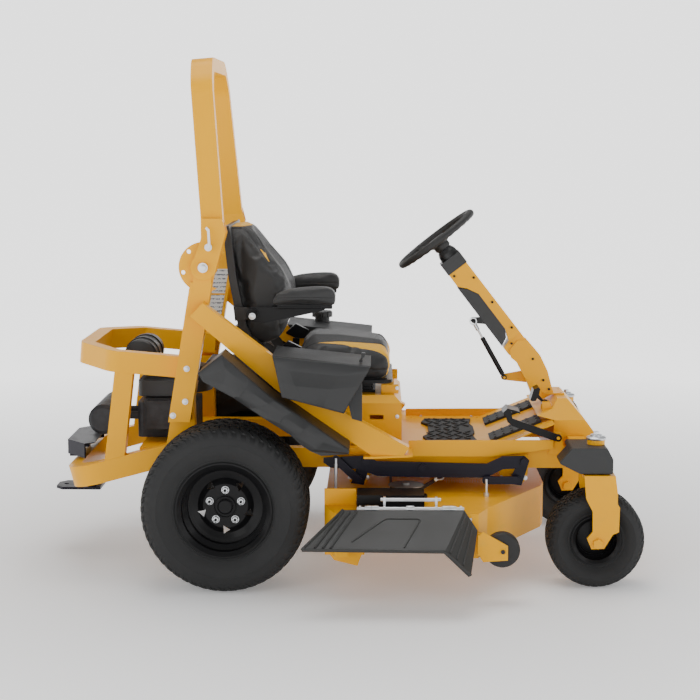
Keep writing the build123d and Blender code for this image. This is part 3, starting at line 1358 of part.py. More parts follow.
with BuildPart() as hanger_rods:
    for side in (RIGHT, LEFT):
        hang = side * (hanger_y + 4 + crank_gap + 6)
        for x, angle in lift_places.values():
            tip_x, tip_z = arm_tip(x, angle)
            rod((tip_x, hang, deck_top), (tip_x, hang, tip_z + 6), 5)
            rod((tip_x, hang, deck_top), (tip_x, hang, deck_top + 12), 10)
            if tip_z > lift_pivot_z + 40:
                rod((tip_x, hang, tip_z - 50), (tip_x, hang, tip_z - 14), 6)
finish([chute_hinge, hanger_rods], "deck_hardware")
finish(lift_crank(*lift_places["front"]), "front_lift_crank")
finish(lift_crank(*lift_places["rear"]), "rear_lift_crank")
finish(both_sides(lift_bar), "lift_bars")

for side in (RIGHT, LEFT):
    rear_tyre(side)
    finish([rear_rim(side), rear_hub(side)], f"rear_rim_{side_names[side]}")
    front_tyre(side)
    front_rim(side)
    finish([caster_fork(side), caster_axle(side)], f"caster_fork_{side_names[side]}")
    lock_pin(side)
    armrest(side)
    anti_scalp(side)

finish(both_sides(steering_cover), "steering_covers")
finish(both_sides(transaxle), "transaxles")
finish(both_sides(fender), "fenders")
finish(both_sides(side_pod), "side_pods")
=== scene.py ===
from math import cos, pi, radians, sin

import bmesh
import bpy
from mathutils import Matrix, Vector


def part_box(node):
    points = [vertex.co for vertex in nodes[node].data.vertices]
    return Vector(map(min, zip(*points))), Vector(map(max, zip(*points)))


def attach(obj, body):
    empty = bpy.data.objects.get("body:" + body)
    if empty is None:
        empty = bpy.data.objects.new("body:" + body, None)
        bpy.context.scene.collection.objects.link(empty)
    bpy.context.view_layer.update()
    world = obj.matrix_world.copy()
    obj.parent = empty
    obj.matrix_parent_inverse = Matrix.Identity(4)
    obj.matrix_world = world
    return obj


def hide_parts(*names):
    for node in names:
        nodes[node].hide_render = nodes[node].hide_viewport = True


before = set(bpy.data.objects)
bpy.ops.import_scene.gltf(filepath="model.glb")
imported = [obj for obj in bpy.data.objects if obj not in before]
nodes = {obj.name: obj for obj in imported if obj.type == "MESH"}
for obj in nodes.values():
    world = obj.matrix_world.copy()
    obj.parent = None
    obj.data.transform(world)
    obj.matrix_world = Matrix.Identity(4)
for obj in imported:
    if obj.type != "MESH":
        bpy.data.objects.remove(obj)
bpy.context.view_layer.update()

scene = bpy.context.scene

# every size below is in millimetres from the middle of the rear axle, on the ground
rimRight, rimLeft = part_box("rear_rim_right"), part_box("rear_rim_left")
axleMiddle = Vector(((rimRight[0].x + rimRight[1].x) / 2, (rimRight[0].y + rimLeft[1].y) / 2, 0))
toRow = Matrix.Translation(axleMiddle) @ Matrix.Scale(0.001, 4)
sides = {"right": -1, "left": 1}
print("frame loaded")


def at(x, y, z):
    return toRow @ Vector((x, y, z))


# camera, world and lights

view = {"from": (535, -6175, 1588), "lens": 85, "down": 0.132, "turn": 0.018}
camera = bpy.data.objects.new("camera", bpy.data.cameras.new("camera"))
camera.data.lens = view["lens"]
camera.data.sensor_width = 36
camera.location = at(*view["from"])
camera.rotation_euler = (pi / 2 - view["down"], 0, view["turn"])
camera.data.clip_end = 60
scene.collection.objects.link(camera)
scene.camera = camera

world = bpy.data.worlds.new("studio")
scene.world = world
world.use_nodes = True
world.node_tree.nodes["Background"].inputs["Color"].default_value = (1, 1, 1, 1)
world.node_tree.nodes["Background"].inputs["Strength"].default_value = 0.5


def softLight(name, place, target, size, watts):
    lamp = bpy.data.lights.new(name, "AREA")
    lamp.shape = "RECTANGLE"
    lamp.size, lamp.size_y = size
    lamp.energy = watts
    holder = bpy.data.objects.new(name, lamp)
    holder.location = at(*place)
    holder.rotation_euler = (at(*target) - at(*place)).to_track_quat("-Z", "Y").to_euler()
    scene.collection.objects.link(holder)


softLight("overheadPanel", (300, 300, 4200), (400, 0, 300), (3.2, 2.2), 80)
softLight("sidePanel", (-2200, -4200, 2600), (300, 0, 600), (2.0, 1.6), 30)
softLight("frontPanel", (3800, -2600, 1900), (500, 0, 600), (1.6, 1.6), 18)


# shader helpers

class Wire:
    def __init__(self, tree, socket):
        self.tree, self.socket = tree, socket

    def math(self, operation, first, second=0.5):
        node = self.tree.nodes.new("ShaderNodeMath")
        node.operation = operation
        for socket, value in zip(node.inputs, (first, second)):
            plug(self.tree, socket, value)
        return Wire(self.tree, node.outputs[0])

    def __add__(self, other): return self.math("ADD", self, other)
    def __radd__(self, other): return self.math("ADD", other, self)
    def __sub__(self, other): return self.math("SUBTRACT", self, other)
    def __rsub__(self, other): return self.math("SUBTRACT", other, self)
    def __mul__(self, other): return self.math("MULTIPLY", self, other)
    def __rmul__(self, other): return self.math("MULTIPLY", other, self)
    def __gt__(self, other): return self.math("GREATER_THAN", self, other)
    def __lt__(self, other): return self.math("LESS_THAN", self, other)


def plug(tree, socket, value):
    if isinstance(value, Wire):
        tree.links.new(value.socket, socket)
    elif hasattr(value, "__len__") and len(socket.default_value) == 4 and len(value) == 3:
        socket.default_value = (*value, 1)
    else:
        socket.default_value = value


class Finish:
    def math(self, operation, first, second=0.5):
        return Wire(self.tree, None).math(operation, first, second)

    def __init__(self, name, **fixed):
        self.material = bpy.data.materials.new(name)
        self.material.use_nodes = True
        self.tree = self.material.node_tree
        self.shader = self.tree.nodes["Principled BSDF"]
        coordinates = self.tree.nodes.new("ShaderNodeTexCoord")
        self.object = Wire(self.tree, coordinates.outputs["Object"])
        self.set(**fixed)

    def node(self, kind, settings=None, output=0, **values):
        made = self.tree.nodes.new("ShaderNode" + kind)
        for key, value in (settings or {}).items():
            if key == "stops":
                ramp = made.color_ramp
                for stop, (position, shade) in zip(ramp.elements, value):
                    stop.position = position
                    stop.color = (shade, shade, shade, 1)
            else:
                setattr(made, key, value)
        for key, value in values.items():
            plug(self.tree, made.inputs[key.replace("_", " ")], value)
        return Wire(self.tree, made.outputs[output])

    def noise(self, scale, detail=3, rough=0.5):
        return self.node("TexNoise", Vector=self.object, Scale=scale, Detail=detail, Roughness=rough)

    def mix(self, mask, first, second):
        made = self.tree.nodes.new("ShaderNodeMix")
        made.data_type = "RGBA"
        plug(self.tree, made.inputs[0], mask)
        plug(self.tree, made.inputs[6], first)
        plug(self.tree, made.inputs[7], second)
        return Wire(self.tree, made.outputs[2])

    def ramp(self, value, *stops):
        return self.node("ValToRGB", {"stops": stops}, Fac=value)

    def xyz(self, index):
        return self.node("SeparateXYZ", output=index, Vector=self.object)

    def set(self, **values):
        for key, value in values.items():
            plug(self.tree, self.shader.inputs[key.replace("_", " ")], value)
        return self

    def bump(self, height, distance, strength=1.0, rounded=0.0):
        values = {"Height": height, "Distance": distance, "Strength": strength}
        if rounded:
            values["Normal"] = self.node("Bevel", {"samples": 4}, Radius=rounded)
        return self.set(Normal=self.node("Bump", **values))


# finishes

def paintFinish(name, shade, deep, dust, rounded, gloss=0.32):
    finish = Finish(name, Coat_Weight=0.06, Coat_Roughness=0.12, Specular_IOR_Level=0.15)
    cloud = finish.ramp(finish.noise(3.1, 4), (0.3, 0.0), (0.7, 1.0))
    grime = finish.ramp(finish.noise(17, 6, 0.65), (0.52, 0.0), (0.8, 1.0))
    low = finish.ramp(finish.xyz(2), (0.12, 1.0), (0.5, 0.0))
    colour = finish.mix(cloud * 0.35, shade, deep)
    colour = finish.mix(grime * low * 0.35, colour, dust)
    finish.set(Base_Color=colour, Roughness=gloss + grime * 0.12 + finish.noise(260, 2) * 0.06)
    return finish.bump(finish.noise(620, 2) + finish.noise(90, 2) * 0.6, 0.00022, 0.32, rounded).material


def plasticFinish(name, shade, worn, rough, grain, rounded, relief=0.0004):
    finish = Finish(name)
    cloud = finish.ramp(finish.noise(5.5, 5, 0.6), (0.35, 0.0), (0.75, 1.0))
    pebbles = finish.node("TexVoronoi", {"feature": "SMOOTH_F1"}, Vector=finish.object, Scale=grain)
    finish.set(Base_Color=finish.mix(cloud * 0.45 + pebbles * 0.12, shade, worn),
               Roughness=rough + cloud * 0.1 - pebbles * 0.08)
    return finish.bump(pebbles + finish.noise(grain * 1.7, 3) * 0.5, relief, 0.45, rounded).material


def metalFinish(name, shade, stain, rough, scale, rounded, metallic=1.0, relief=0.0002):
    finish = Finish(name, Metallic=metallic)
    patch = finish.ramp(finish.noise(scale * 0.2, 5, 0.6), (0.35, 0.0), (0.7, 1.0))
    streak = finish.noise(scale, 5, 0.7)
    finish.set(Base_Color=finish.mix(patch * 0.55 + streak * 0.15, shade, stain),
               Roughness=rough + patch * 0.16 + streak * 0.1)
    return finish.bump(streak, relief, 0.5, rounded).material


def rubberFinish(name, shade, dusty, rough=0.62):
    finish = Finish(name)
    cloud = finish.ramp(finish.noise(9, 6, 0.6), (0.35, 0.0), (0.75, 1.0))
    fine = finish.noise(420, 3, 0.7)
    finish.set(Base_Color=finish.mix(cloud * 0.4 + fine * 0.15, shade, dusty), Roughness=rough + fine * 0.2)
    return finish.bump(fine + finish.noise(70, 3) * 0.5, 0.0005, 0.4).material


def vinylFinish(name, shade, pale):
    finish = Finish(name, Coat_Weight=0.05, Sheen_Weight=0.08)
    cells = finish.node("TexVoronoi", {"feature": "DISTANCE_TO_EDGE"}, Vector=finish.object, Scale=520)
    creases = finish.ramp(cells, (0.0, 0.0), (0.14, 1.0))
    soft = finish.noise(7, 4)
    finish.set(Base_Color=finish.mix(soft * 0.35 + (1 - creases) * 0.25, shade, pale),
               Roughness=0.44 + soft * 0.12 + (1 - creases) * 0.15)
    return finish.bump(creases + finish.noise(60, 4) * 1.2, 0.00035, 0.5).material


yellow = (0.87, 0.41, 0.0)
deepYellow = (0.80, 0.35, 0.0)
finishes = {
    "yellowPaint": paintFinish("yellowPaint", yellow, deepYellow, (0.50, 0.33, 0.09), 0.0022),
    "blackPaint": paintFinish("blackPaint", (0.006, 0.006, 0.0065), (0.010, 0.010, 0.011), (0.03, 0.028, 0.025), 0.0015,
                              0.3),
    "linkPaint": paintFinish("linkPaint", (0.008, 0.007, 0.015), (0.013, 0.011, 0.022), (0.035, 0.03, 0.03), 0.0015,
                             0.3),
    "podPlastic": plasticFinish("podPlastic", (0.013, 0.0135, 0.014), (0.021, 0.0215, 0.022), 0.5, 900, 0.004),
    "chutePlastic": plasticFinish("chutePlastic", (0.021, 0.021, 0.020), (0.038, 0.037, 0.033), 0.5, 600, 0.003),
    "smoothPlastic": plasticFinish("smoothPlastic", (0.008, 0.008, 0.0085), (0.014, 0.014, 0.0145), 0.4, 1500, 0.0015),
    "matRubber": rubberFinish("matRubber", (0.009, 0.009, 0.009), (0.019, 0.018, 0.017), 0.5),
    "tyreRubber": rubberFinish("tyreRubber", (0.0095, 0.0098, 0.0104), (0.018, 0.018, 0.018)),
    "blackVinyl": vinylFinish("blackVinyl", (0.011, 0.0115, 0.012), (0.019, 0.0195, 0.02)),
    "yellowVinyl": vinylFinish("yellowVinyl", (0.86, 0.45, 0.02), (0.92, 0.55, 0.06)),
    "zincPlate": metalFinish("zincPlate", (0.72, 0.74, 0.76), (0.55, 0.56, 0.58), 0.25, 90, 0.0008),
    "bareSteel": metalFinish("bareSteel", (0.30, 0.29, 0.28), (0.17, 0.15, 0.14), 0.4, 60, 0.001),
    "castAluminium": metalFinish("castAluminium", (0.30, 0.30, 0.30), (0.17, 0.17, 0.165), 0.45, 220, 0.002, 0.9,
                                 0.0006),
    "engineMetal": metalFinish("engineMetal", (0.035, 0.036, 0.04), (0.02, 0.02, 0.022), 0.42, 150, 0.002, 0.5,
                               0.0005),
    "exhaustSteel": metalFinish("exhaustSteel", (0.12, 0.115, 0.11), (0.20, 0.13, 0.09), 0.5, 80, 0.002, 0.85),
}
nodeFinish = {
    "yellowPaint": ["main_frame", "floor_pan", "seat_box", "front_body", "rops_uprights", "rops_hoop",
                    "bumper_upper_loop", "bumper_lower_loop", "upper_column", "deck_shell", "caster_fork_right",
                    "caster_fork_left"],
    "podPlastic": ["steering_covers", "fenders", "side_pods"],
    "chutePlastic": ["discharge_chute"],
    "smoothPlastic": ["column_trim", "fuel_cap", "throttle_lever", "engine_shroud", "backrest_shell"],
    "tyreRubber": ["rear_tyre_right", "rear_tyre_left", "front_tyre_right", "front_tyre_left"],
    "blackPaint": ["rear_rim_right", "rear_rim_left", "front_rim_right", "front_rim_left", "armrest_bracket_right",
                   "armrest_bracket_left", "seat_pan", "seat_suspension", "drive_pedal", "deck_lift_pedal",
                   "strut_cylinder", "deck_drive"],
    "linkPaint": ["lift_bars", "front_lift_crank", "rear_lift_crank", "hitch_and_guard"],
    "matRubber": ["steering_wheel", "anti_scalp_wheel_right", "anti_scalp_wheel_left", "floor_mats"],
    "blackVinyl": ["seat_cushion", "backrest_cushion", "armrest_pad_right", "armrest_pad_left"],
    "zincPlate": ["chassis_hardware", "deck_hardware", "rops_lock_pin_right", "rops_lock_pin_left", "strut_rod"],
    "bareSteel": ["spindle_right", "spindle_middle", "spindle_left", "crankshaft"],
    "castAluminium": ["transaxles"],
    "engineMetal": ["engine_block"],
}
for finishName, members in nodeFinish.items():
    for member in members:
        nodes[member].data.materials.clear()
        nodes[member].data.materials.append(finishes[finishName])
print("finishes made")


# mesh helpers


def settle(name, bm, finishName, body, replaced=(), sharp=35, extra=()):
    bm.transform(toRow)
    mesh = bpy.data.meshes.new(name)
    bm.to_mesh(mesh)
    bm.free()
    for each in (finishName, *extra):
        mesh.materials.append(finishes[each])
    mesh.shade_smooth()
    mesh.set_sharp_from_angle(angle=radians(sharp))
    made = bpy.data.objects.new(name, mesh)
    scene.collection.objects.link(made)
    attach(made, body)
    if replaced:
        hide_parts(*replaced)
    return made


def spun(bm, profile, centre, axis=(0, 1, 0), steps=64, material=0):
    axis = Vector(axis).normalized()
    outward = Vector((0, 0, 1)) if abs(axis.z) < 0.9 else Vector((1, 0, 0))
    outward = (outward - axis * outward.dot(axis)).normalized()
    centre = Vector(centre)
    chain = [bm.verts.new(centre + outward * radius + axis * along) for radius, along in profile]
    edges = [bm.edges.new(pair) for pair in zip(chain, chain[1:])]
    before = set(bm.faces)
    bmesh.ops.spin(bm, geom=chain + edges, cent=centre, axis=axis, angle=2 * pi, steps=steps, use_merge=True,
                   use_normal_flip=False, use_duplicate=False)
    bmesh.ops.remove_doubles(bm, verts=bm.verts, dist=0.002)
    faces = [face for face in bm.faces if face not in before]
    for face in faces:
        face.material_index = material
    bmesh.ops.recalc_face_normals(bm, faces=faces)
    return faces


def repeat(bm, geometry, count, centre, axis, turn=2 * pi):
    for index in range(1, count):
        copy = bmesh.ops.duplicate(bm, geom=geometry)["geom"]
        verts = [part for part in copy if isinstance(part, bmesh.types.BMVert)]
        bmesh.ops.rotate(bm, verts=verts, cent=centre, matrix=Matrix.Rotation(turn * index / count, 3, axis))


def between(points, value):
    value = min(max(value, points[0][0]), points[-1][0])
    for (low, first), (high, second) in zip(points, points[1:]):
        if value <= high:
            return first + (second - first) * (value - low) / (high - low)
    return points[-1][1]


# tyres

def treadBar(bm, path, carcass, centre, width, height, sink, segments=6):
    # one raised bar: path gives (across, round) in mm for 0..1 along the bar
    before = set(bm.verts)
    bmesh.ops.create_grid(bm, x_segments=segments, y_segments=1, size=0.5)
    faces = list({face for vert in bm.verts if vert not in before for face in vert.link_faces})
    risen = bmesh.ops.extrude_face_region(bm, geom=faces)["geom"]
    for part in risen:
        if isinstance(part, bmesh.types.BMVert):
            part.co.z = 1
    block = [vert for vert in bm.verts if vert not in before]
    for vert in block:
        share = vert.co.x + 0.5
        across, roundIt = path(share)
        reach = carcass(across) + (height(share) if vert.co.z > 0.5 else -sink)
        angle = (roundIt + vert.co.y * width * (1 - 0.16 * vert.co.z)) / carcass(0)
        vert.co = centre + Vector((reach * sin(angle), across, reach * cos(angle)))
    edges = list({edge for vert in block for edge in vert.link_edges})
    faces = list({face for vert in block for face in vert.link_faces})
    bmesh.ops.recalc_face_normals(bm, faces=faces)
    return block + edges + faces


rearTyre = {"x": 0, "y": 516, "axle": 292, "pitches": 52, "lug": 8.5, "half": 112,
            "wall": [(153, 78), (153.5, 97), (160, 104), (170, 106), (174, 109), (178, 107), (196, 119), (214, 127),
                     (228, 130.5), (232, 132.5), (236, 131), (250, 129), (262, 124), (271, 116), (278, 104),
                     (281.5, 88), (283, 60), (283.5, 0)]}
frontTyre = {"x": 1293, "y": 472, "axle": 170, "pitches": 38, "lug": 6, "half": 68,
             "wall": [(76.5, 38), (77, 50), (84, 55), (92, 56.5), (95, 59), (98, 58), (112, 70), (124, 77),
                      (132, 79.5), (135, 81), (138, 79.5), (148, 77), (155, 71), (160, 62), (163, 48), (164, 30),
                      (164, 0)]}


def makeTyre(name, settings, sideName, body, node):
    centre = Vector((settings["x"], sides[sideName] * settings["y"], settings["axle"]))
    wall, half, lug = settings["wall"], settings["half"], settings["lug"]
    bm = bmesh.new()
    spun(bm, wall + [(radius, -along) for radius, along in wall[-2::-1]], centre, steps=96)
    crown = sorted((along, radius) for radius, along in wall if radius > wall[-1][0] * 0.84)

    def carcass(across):
        return between(crown, abs(across))

    pitch = 2 * pi * settings["axle"] / settings["pitches"]
    for hand in (-1, 1):
        def shoulder(share, hand=hand):
            return hand * half * (0.52 + 0.60 * share), hand * pitch * (0.30 * sin(share * pi * 1.6) - 0.5 * share)

        def stagger(share, hand=hand):
            return hand * half * (0.62 + 0.36 * share), hand * pitch * (0.5 + 0.3 * sin(share * pi * 1.3) - 0.4 * share)

        def crownBar(share, hand=hand):
            wave = 0.2 + 0.32 * sin(share * pi * 1.7) - 0.3 * share
            return hand * half * (0.03 + 0.45 * share), hand * pitch * wave

        bars = [(shoulder, pitch * 0.46, lambda share: lug * (1 - 0.75 * max(share - 0.55, 0) / 0.45)),
                (stagger, pitch * 0.36, lambda share: lug * (1 - 0.35 * share)),
                (crownBar, pitch * 0.62, lambda share: lug * 0.97)]
        for path, width, height in bars:
            bar = treadBar(bm, path, carcass, centre, width, height, 3)
            repeat(bm, bar, settings["pitches"], centre, "Y")
    settle(name, bm, "tyreRubber", body, [node], 40)


for sideName in sides:
    makeTyre(f"rearTyre_{sideName}", rearTyre, sideName, f"rear_wheel_{sideName}", f"rear_tyre_{sideName}")
    makeTyre(f"frontTyre_{sideName}", frontTyre, sideName, f"front_wheel_{sideName}", f"front_tyre_{sideName}")
print("tyres made")

# seat, backrest and armrest pads

def sideBlock(points, halfWidth, middle=0):
    bm = bmesh.new()
    ring = [bm.verts.new((x, middle - halfWidth, z)) for x, z in points]
    face = bm.faces.new(ring)
    grown = bmesh.ops.extrude_face_region(bm, geom=[face])["geom"]
    bmesh.ops.translate(bm, verts=[part for part in grown if isinstance(part, bmesh.types.BMVert)],
                        vec=(0, 2 * halfWidth, 0))
    bmesh.ops.recalc_face_normals(bm, faces=bm.faces)
    return bm


def sliceAcross(bm, stations):
    for y in stations:
        bmesh.ops.bisect_plane(bm, geom=bm.verts[:] + bm.edges[:] + bm.faces[:], plane_co=(0, y, 0),
                               plane_no=(0, 1, 0))


def asObject(name, bm):
    bm.transform(toRow)
    mesh = bpy.data.meshes.new(name)
    bm.to_mesh(mesh)
    bm.free()
    made = bpy.data.objects.new(name, mesh)
    scene.collection.objects.link(made)
    return made


def bake(made):
    # applies every modifier on a piece to its mesh
    bpy.context.view_layer.update()
    final = bpy.data.meshes.new_from_object(made.evaluated_get(bpy.context.evaluated_depsgraph_get()))
    made.modifiers.clear()
    made.data = final


def stuff(made, settings):
    remesh = made.modifiers.new("evenMesh", "REMESH")
    remesh.mode = "VOXEL"
    remesh.voxel_size = settings["voxel"] / 1000
    bake(made)
    rest = [vert.co.copy() for vert in made.data.vertices]
    cloth = made.modifiers.new("fill", "CLOTH")
    cloth.settings.quality = 6
    cloth.settings.mass = 0.3
    cloth.settings.tension_stiffness = settings["stiffness"]
    cloth.settings.compression_stiffness = settings["stiffness"]
    cloth.settings.shear_stiffness = 5
    cloth.settings.bending_stiffness = 0.6
    cloth.settings.use_pressure = True
    cloth.settings.uniform_pressure_force = settings["pressure"]
    cloth.settings.effector_weights.gravity = 0
    cloth.point_cache.frame_start, cloth.point_cache.frame_end = 1, 20
    for number in range(1, 21):
        scene.frame_set(number)
    bake(made)
    cap = settings["cap"] / 1000
    for vert, start in zip(made.data.vertices, rest):
        moved = vert.co - start
        if moved.length > cap:
            vert.co = start + moved * (cap / moved.length)
    scene.frame_set(1)
    smooth = made.modifiers.new("relax", "SMOOTH")
    smooth.factor, smooth.iterations = 0.5, settings["relax"]
    finer = made.modifiers.new("finer", "SUBSURF")
    finer.levels = finer.render_levels = 1
    bake(made)


def sewSeams(made, seams, depth, reach):
    # presses a narrow groove along each seam: a function giving signed mm to the seam for a point
    moves = []
    for vert in made.data.vertices:
        place = (vert.co - axleMiddle) * 1000
        press = 0
        for seam in seams:
            away = seam(place, vert.normal)
            if away is not None and abs(away) < reach * 3:
                press = max(press, 2.718 ** -((away / reach) ** 2))
        moves.append(press)
    for vert, press, normal in zip(made.data.vertices, moves, [vert.normal.copy() for vert in made.data.vertices]):
        vert.co -= normal * press * depth / 1000


def finishPad(made, finishName, body, node):
    made.data.materials.clear()
    made.data.materials.append(finishes[finishName])
    made.data.shade_smooth()
    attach(made, body)
    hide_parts(node)


cushion = {"voxel": 6.5, "stiffness": 12, "pressure": 4, "cap": 14, "relax": 4, "half": 226,
           "outline": [(236, 800), (286, 826), (393, 824), (540, 806), (578, 784), (587, 750), (580, 702), (560, 694),
                       (270, 694), (232, 735)]}
bm = sideBlock(cushion["outline"], cushion["half"])
sliceAcross(bm, (-196, -150, -90, 0, 90, 150, 196))
for vert in bm.verts:
    across = abs(vert.co.y)
    if vert.co.z > 730:
        vert.co.z -= 34 * max(across - 90, 0) / 136 * (1.0 if vert.co.x < 560 else 0.5)
    if across > 190:
        vert.co.x += (14 if vert.co.x < 300 else -16 if vert.co.x > 520 else 0) * (across - 190) / 36
    if vert.co.z < 700 and vert.co.x > 500:
        vert.co.x -= 8
seat = asObject("seatCushionCover", bm)
stuff(seat, cushion)


def wedgeInner(x):
    return 168 - (x - 300) * 0.16


def wedgeOuter(x):
    return 168 + (x - 300) * 0.115


def seatWedge(inner):
    def seam(place, normal):
        if place.x < 300 or normal.z < 0.1 and place.x < 560:
            return None
        return abs(place.y) - (wedgeInner if inner else wedgeOuter)(min(place.x, 590))
    return seam


def seatRear(place, normal):
    return abs(place.y) - 168 if place.x < 300 and normal.z > 0.3 else None


def seatFront(place, normal):
    return place.x - 566 if abs(place.y) < wedgeInner(566) and normal.z > 0.2 else None


def seatSkirt(place, normal):
    return place.z - 724 if abs(normal.z) < 0.6 else None


sewSeams(seat, [seatWedge(True), seatWedge(False), seatRear, seatFront, seatSkirt], 3.2, 3.2)

back = {"voxel": 6.5, "stiffness": 12, "pressure": 3, "cap": 13, "relax": 4, "half": 214,
        "outline": [(-22, 1252), (28, 1256), (50, 1236), (108, 1156), (166, 1084), (196, 1024), (202, 962), (194, 888),
                    (172, 836), (130, 818), (74, 826), (40, 872), (2, 1058), (-22, 1200)]}
bm = sideBlock(back["outline"], back["half"])
sliceAcross(bm, (-170, -120, 0, 120, 170))
for vert in bm.verts:
    across = abs(vert.co.y)
    rise = max(vert.co.z - 1080, 0) / 170
    vert.co.y *= 1 - 0.30 * rise ** 1.6
    if vert.co.x > 100 and across < 60:
        vert.co.x -= 26
    if across > 180:
        vert.co.z -= 26 * rise
backrest = asObject("backrestCushionCover", bm)
stuff(backrest, back)


def stripeLine(z, low):
    # x of the edges of the bright stripe down the side of the backrest
    share = (1262 - z) / 147
    return (17 + 115 * share) if low else (56 + 78 * share)


def backStripe(low):
    def seam(place, normal):
        if abs(normal.y) < 0.25 or place.z < 1115:
            return None
        return (place.x - stripeLine(place.z, low)) * 0.8
    return seam


def backFlank(place, normal):
    if abs(normal.y) < 0.3 or place.z > 1000:
        return None
    return place.x - 158 - (1000 - place.z) * 0.12


def backPanel(place, normal):
    return abs(place.y) - 118 + (place.z - 1000) * 0.12 if normal.x > 0.3 else None


def backCap(place, normal):
    return place.z - 1232 if normal.x < -0.3 or abs(normal.y) > 0.6 and place.x < 30 else None


sewSeams(backrest, [backStripe(True), backStripe(False), backFlank, backPanel, backCap], 3.0, 3.2)


# one vinyl, whose bright panels are masks on the seat's own coordinates
def twoToneVinyl(name, mask):
    finish = Finish(name, Coat_Weight=0.05, Sheen_Weight=0.08)
    cells = finish.node("TexVoronoi", {"feature": "DISTANCE_TO_EDGE"}, Vector=finish.object, Scale=520)
    creases = finish.ramp(cells, (0.0, 0.0), (0.14, 1.0))
    soft = finish.noise(7, 4)
    dark = finish.mix(soft * 0.35 + (1 - creases) * 0.25, (0.011, 0.0115, 0.012), (0.019, 0.0195, 0.02))
    bright = finish.mix(soft * 0.4 + (1 - creases) * 0.3, (0.80, 0.43, 0.002), (0.70, 0.34, 0.001))
    shown = mask(finish)
    finish.set(Base_Color=finish.mix(shown, dark, bright), Roughness=0.46 + soft * 0.12 + (1 - creases) * 0.15)
    return finish.bump(creases + finish.noise(60, 4) * 1.2, 0.00035, 0.5).material


def seatMask(finish):
    x = (finish.xyz(0) - axleMiddle.x) * 1000
    y = finish.math("ABSOLUTE", (finish.xyz(1) - axleMiddle.y) * 1000)
    inner = y > 168 - (x - 300) * 0.16
    outer = y < 168 + (x - 300) * 0.115
    return (x > 300) * outer * finish.math("MAXIMUM", inner, x > 566)


def backMask(finish):
    x = (finish.xyz(0) - axleMiddle.x) * 1000
    z = finish.xyz(2) * 1000
    y = finish.math("ABSOLUTE", (finish.xyz(1) - axleMiddle.y) * 1000)
    share = (1262 - z) * (1 / 147)
    stripe = (x > 17 + 115 * share) * (x < 56 + 78 * share) * (z > 1115) * (y > 150)
    return finish.math("MAXIMUM", stripe, z > 1240)


finishes["seatTop"] = twoToneVinyl("seatTop", seatMask)
finishes["backTop"] = twoToneVinyl("backTop", backMask)
finishPad(seat, "seatTop", "seat", "seat_cushion")
finishPad(backrest, "backTop", "backrest", "backrest_cushion")

armPad = {"voxel": 4, "stiffness": 15, "pressure": 2, "cap": 5, "relax": 3, "half": 32,
          "outline": [(156, 972), (376, 972), (379, 1008), (368, 1028), (346, 1035), (222, 1027), (170, 1012),
                      (154, 990)]}
for sideName, side in sides.items():
    bm = sideBlock(armPad["outline"], armPad["half"], side * 299)
    pad = asObject(f"armrestPad_{sideName}", bm)
    soften = pad.modifiers.new("edges", "BEVEL")
    soften.width, soften.segments = 0.008, 3
    bake(pad)
    stuff(pad, armPad)

    def piping(place, normal, side=side):
        return place.z - 998 if abs(normal.z) < 0.8 else None

    sewSeams(pad, [piping], 1.6, 2.2)
    finishPad(pad, "blackVinyl", f"armrest_{sideName}", f"armrest_pad_{sideName}")
print("seat padded")

# moulded skins on the fenders and the side pods

def gridPanel(name, rows, rise, base, sideName, body, finishName, soften=3.0):
    # rows of (x, z) from top to bottom; rise gives how far each point stands off the base plane
    side = sides[sideName]
    bm = bmesh.new()
    wide, tall = len(rows[0]), len(rows)
    bmesh.ops.create_grid(bm, x_segments=wide - 1, y_segments=tall - 1, size=1)
    for vert in bm.verts:
        column = round((vert.co.x + 1) / 2 * (wide - 1))
        row = round((1 - vert.co.y) / 2 * (tall - 1))
        x, z = rows[row][column]
        vert.co = (x, side * (base + rise[row][column]), z)
    grown = bmesh.ops.extrude_face_region(bm, geom=bm.faces[:])["geom"]
    for part in grown:
        if isinstance(part, bmesh.types.BMVert):
            part.co.y = side * (base + 0.2)
    bmesh.ops.recalc_face_normals(bm, faces=bm.faces)
    edges = [edge for edge in bm.edges if all(abs(vert.co.y) > base + 1 for vert in edge.verts)
             and edge.calc_face_angle(0) > 0.02]
    bmesh.ops.bevel(bm, geom=edges, offset=soften, offset_type="OFFSET", segments=2, profile=0.5, affect="EDGES",
                    material=-1, clamp_overlap=True)
    settle(f"{name}_{sideName}", bm, finishName, body, sharp=22)


podRows = [[(171, 826), (281, 814), (393, 803), (503, 791)], [(178, 800), (232, 780), (400, 762), (494, 770)],
           [(190, 742), (247, 724), (366, 712), (467, 724)], [(202, 686), (272, 667), (342, 649), (412, 631)]]
podRise = [[16, 17, 17, 16], [20, 26, 26, 18], [24, 2, 3, 16], [18, 2, 2, 8]]
fenderRows = [[(-79, 771), (0, 834), (90, 757), (176, 682), (240, 640), (300, 601), (366, 556), (430, 511)],
              [(-66, 762), (16, 792), (84, 724), (160, 672), (214, 628), (280, 584), (345, 536), (431, 506)],
              [(-64, 752), (6, 738), (62, 694), (124, 652), (196, 606), (262, 556), (322, 516), (431, 501)],
              [(-62, 744), (-20, 721), (38, 690), (92, 653), (141, 620), (233, 561), (302, 505), (431, 496)]]
fenderRise = [[6, 6, 6, 6, 6, 6, 6, 6], [6, 26, 5, 28, 6, 26, 5, 12], [5, 6, 26, 5, 26, 5, 22, 12],
              [4, 5, 5, 4, 5, 4, 5, 5]]
for sideName in sides:
    gridPanel("podSkin", podRows, podRise, 600, sideName, "chassis", "podPlastic")
    gridPanel("fenderSkin", fenderRows, fenderRise, 642, sideName, "chassis", "podPlastic", 2.0)
print("fenders and pods moulded")


# discharge chute ribs

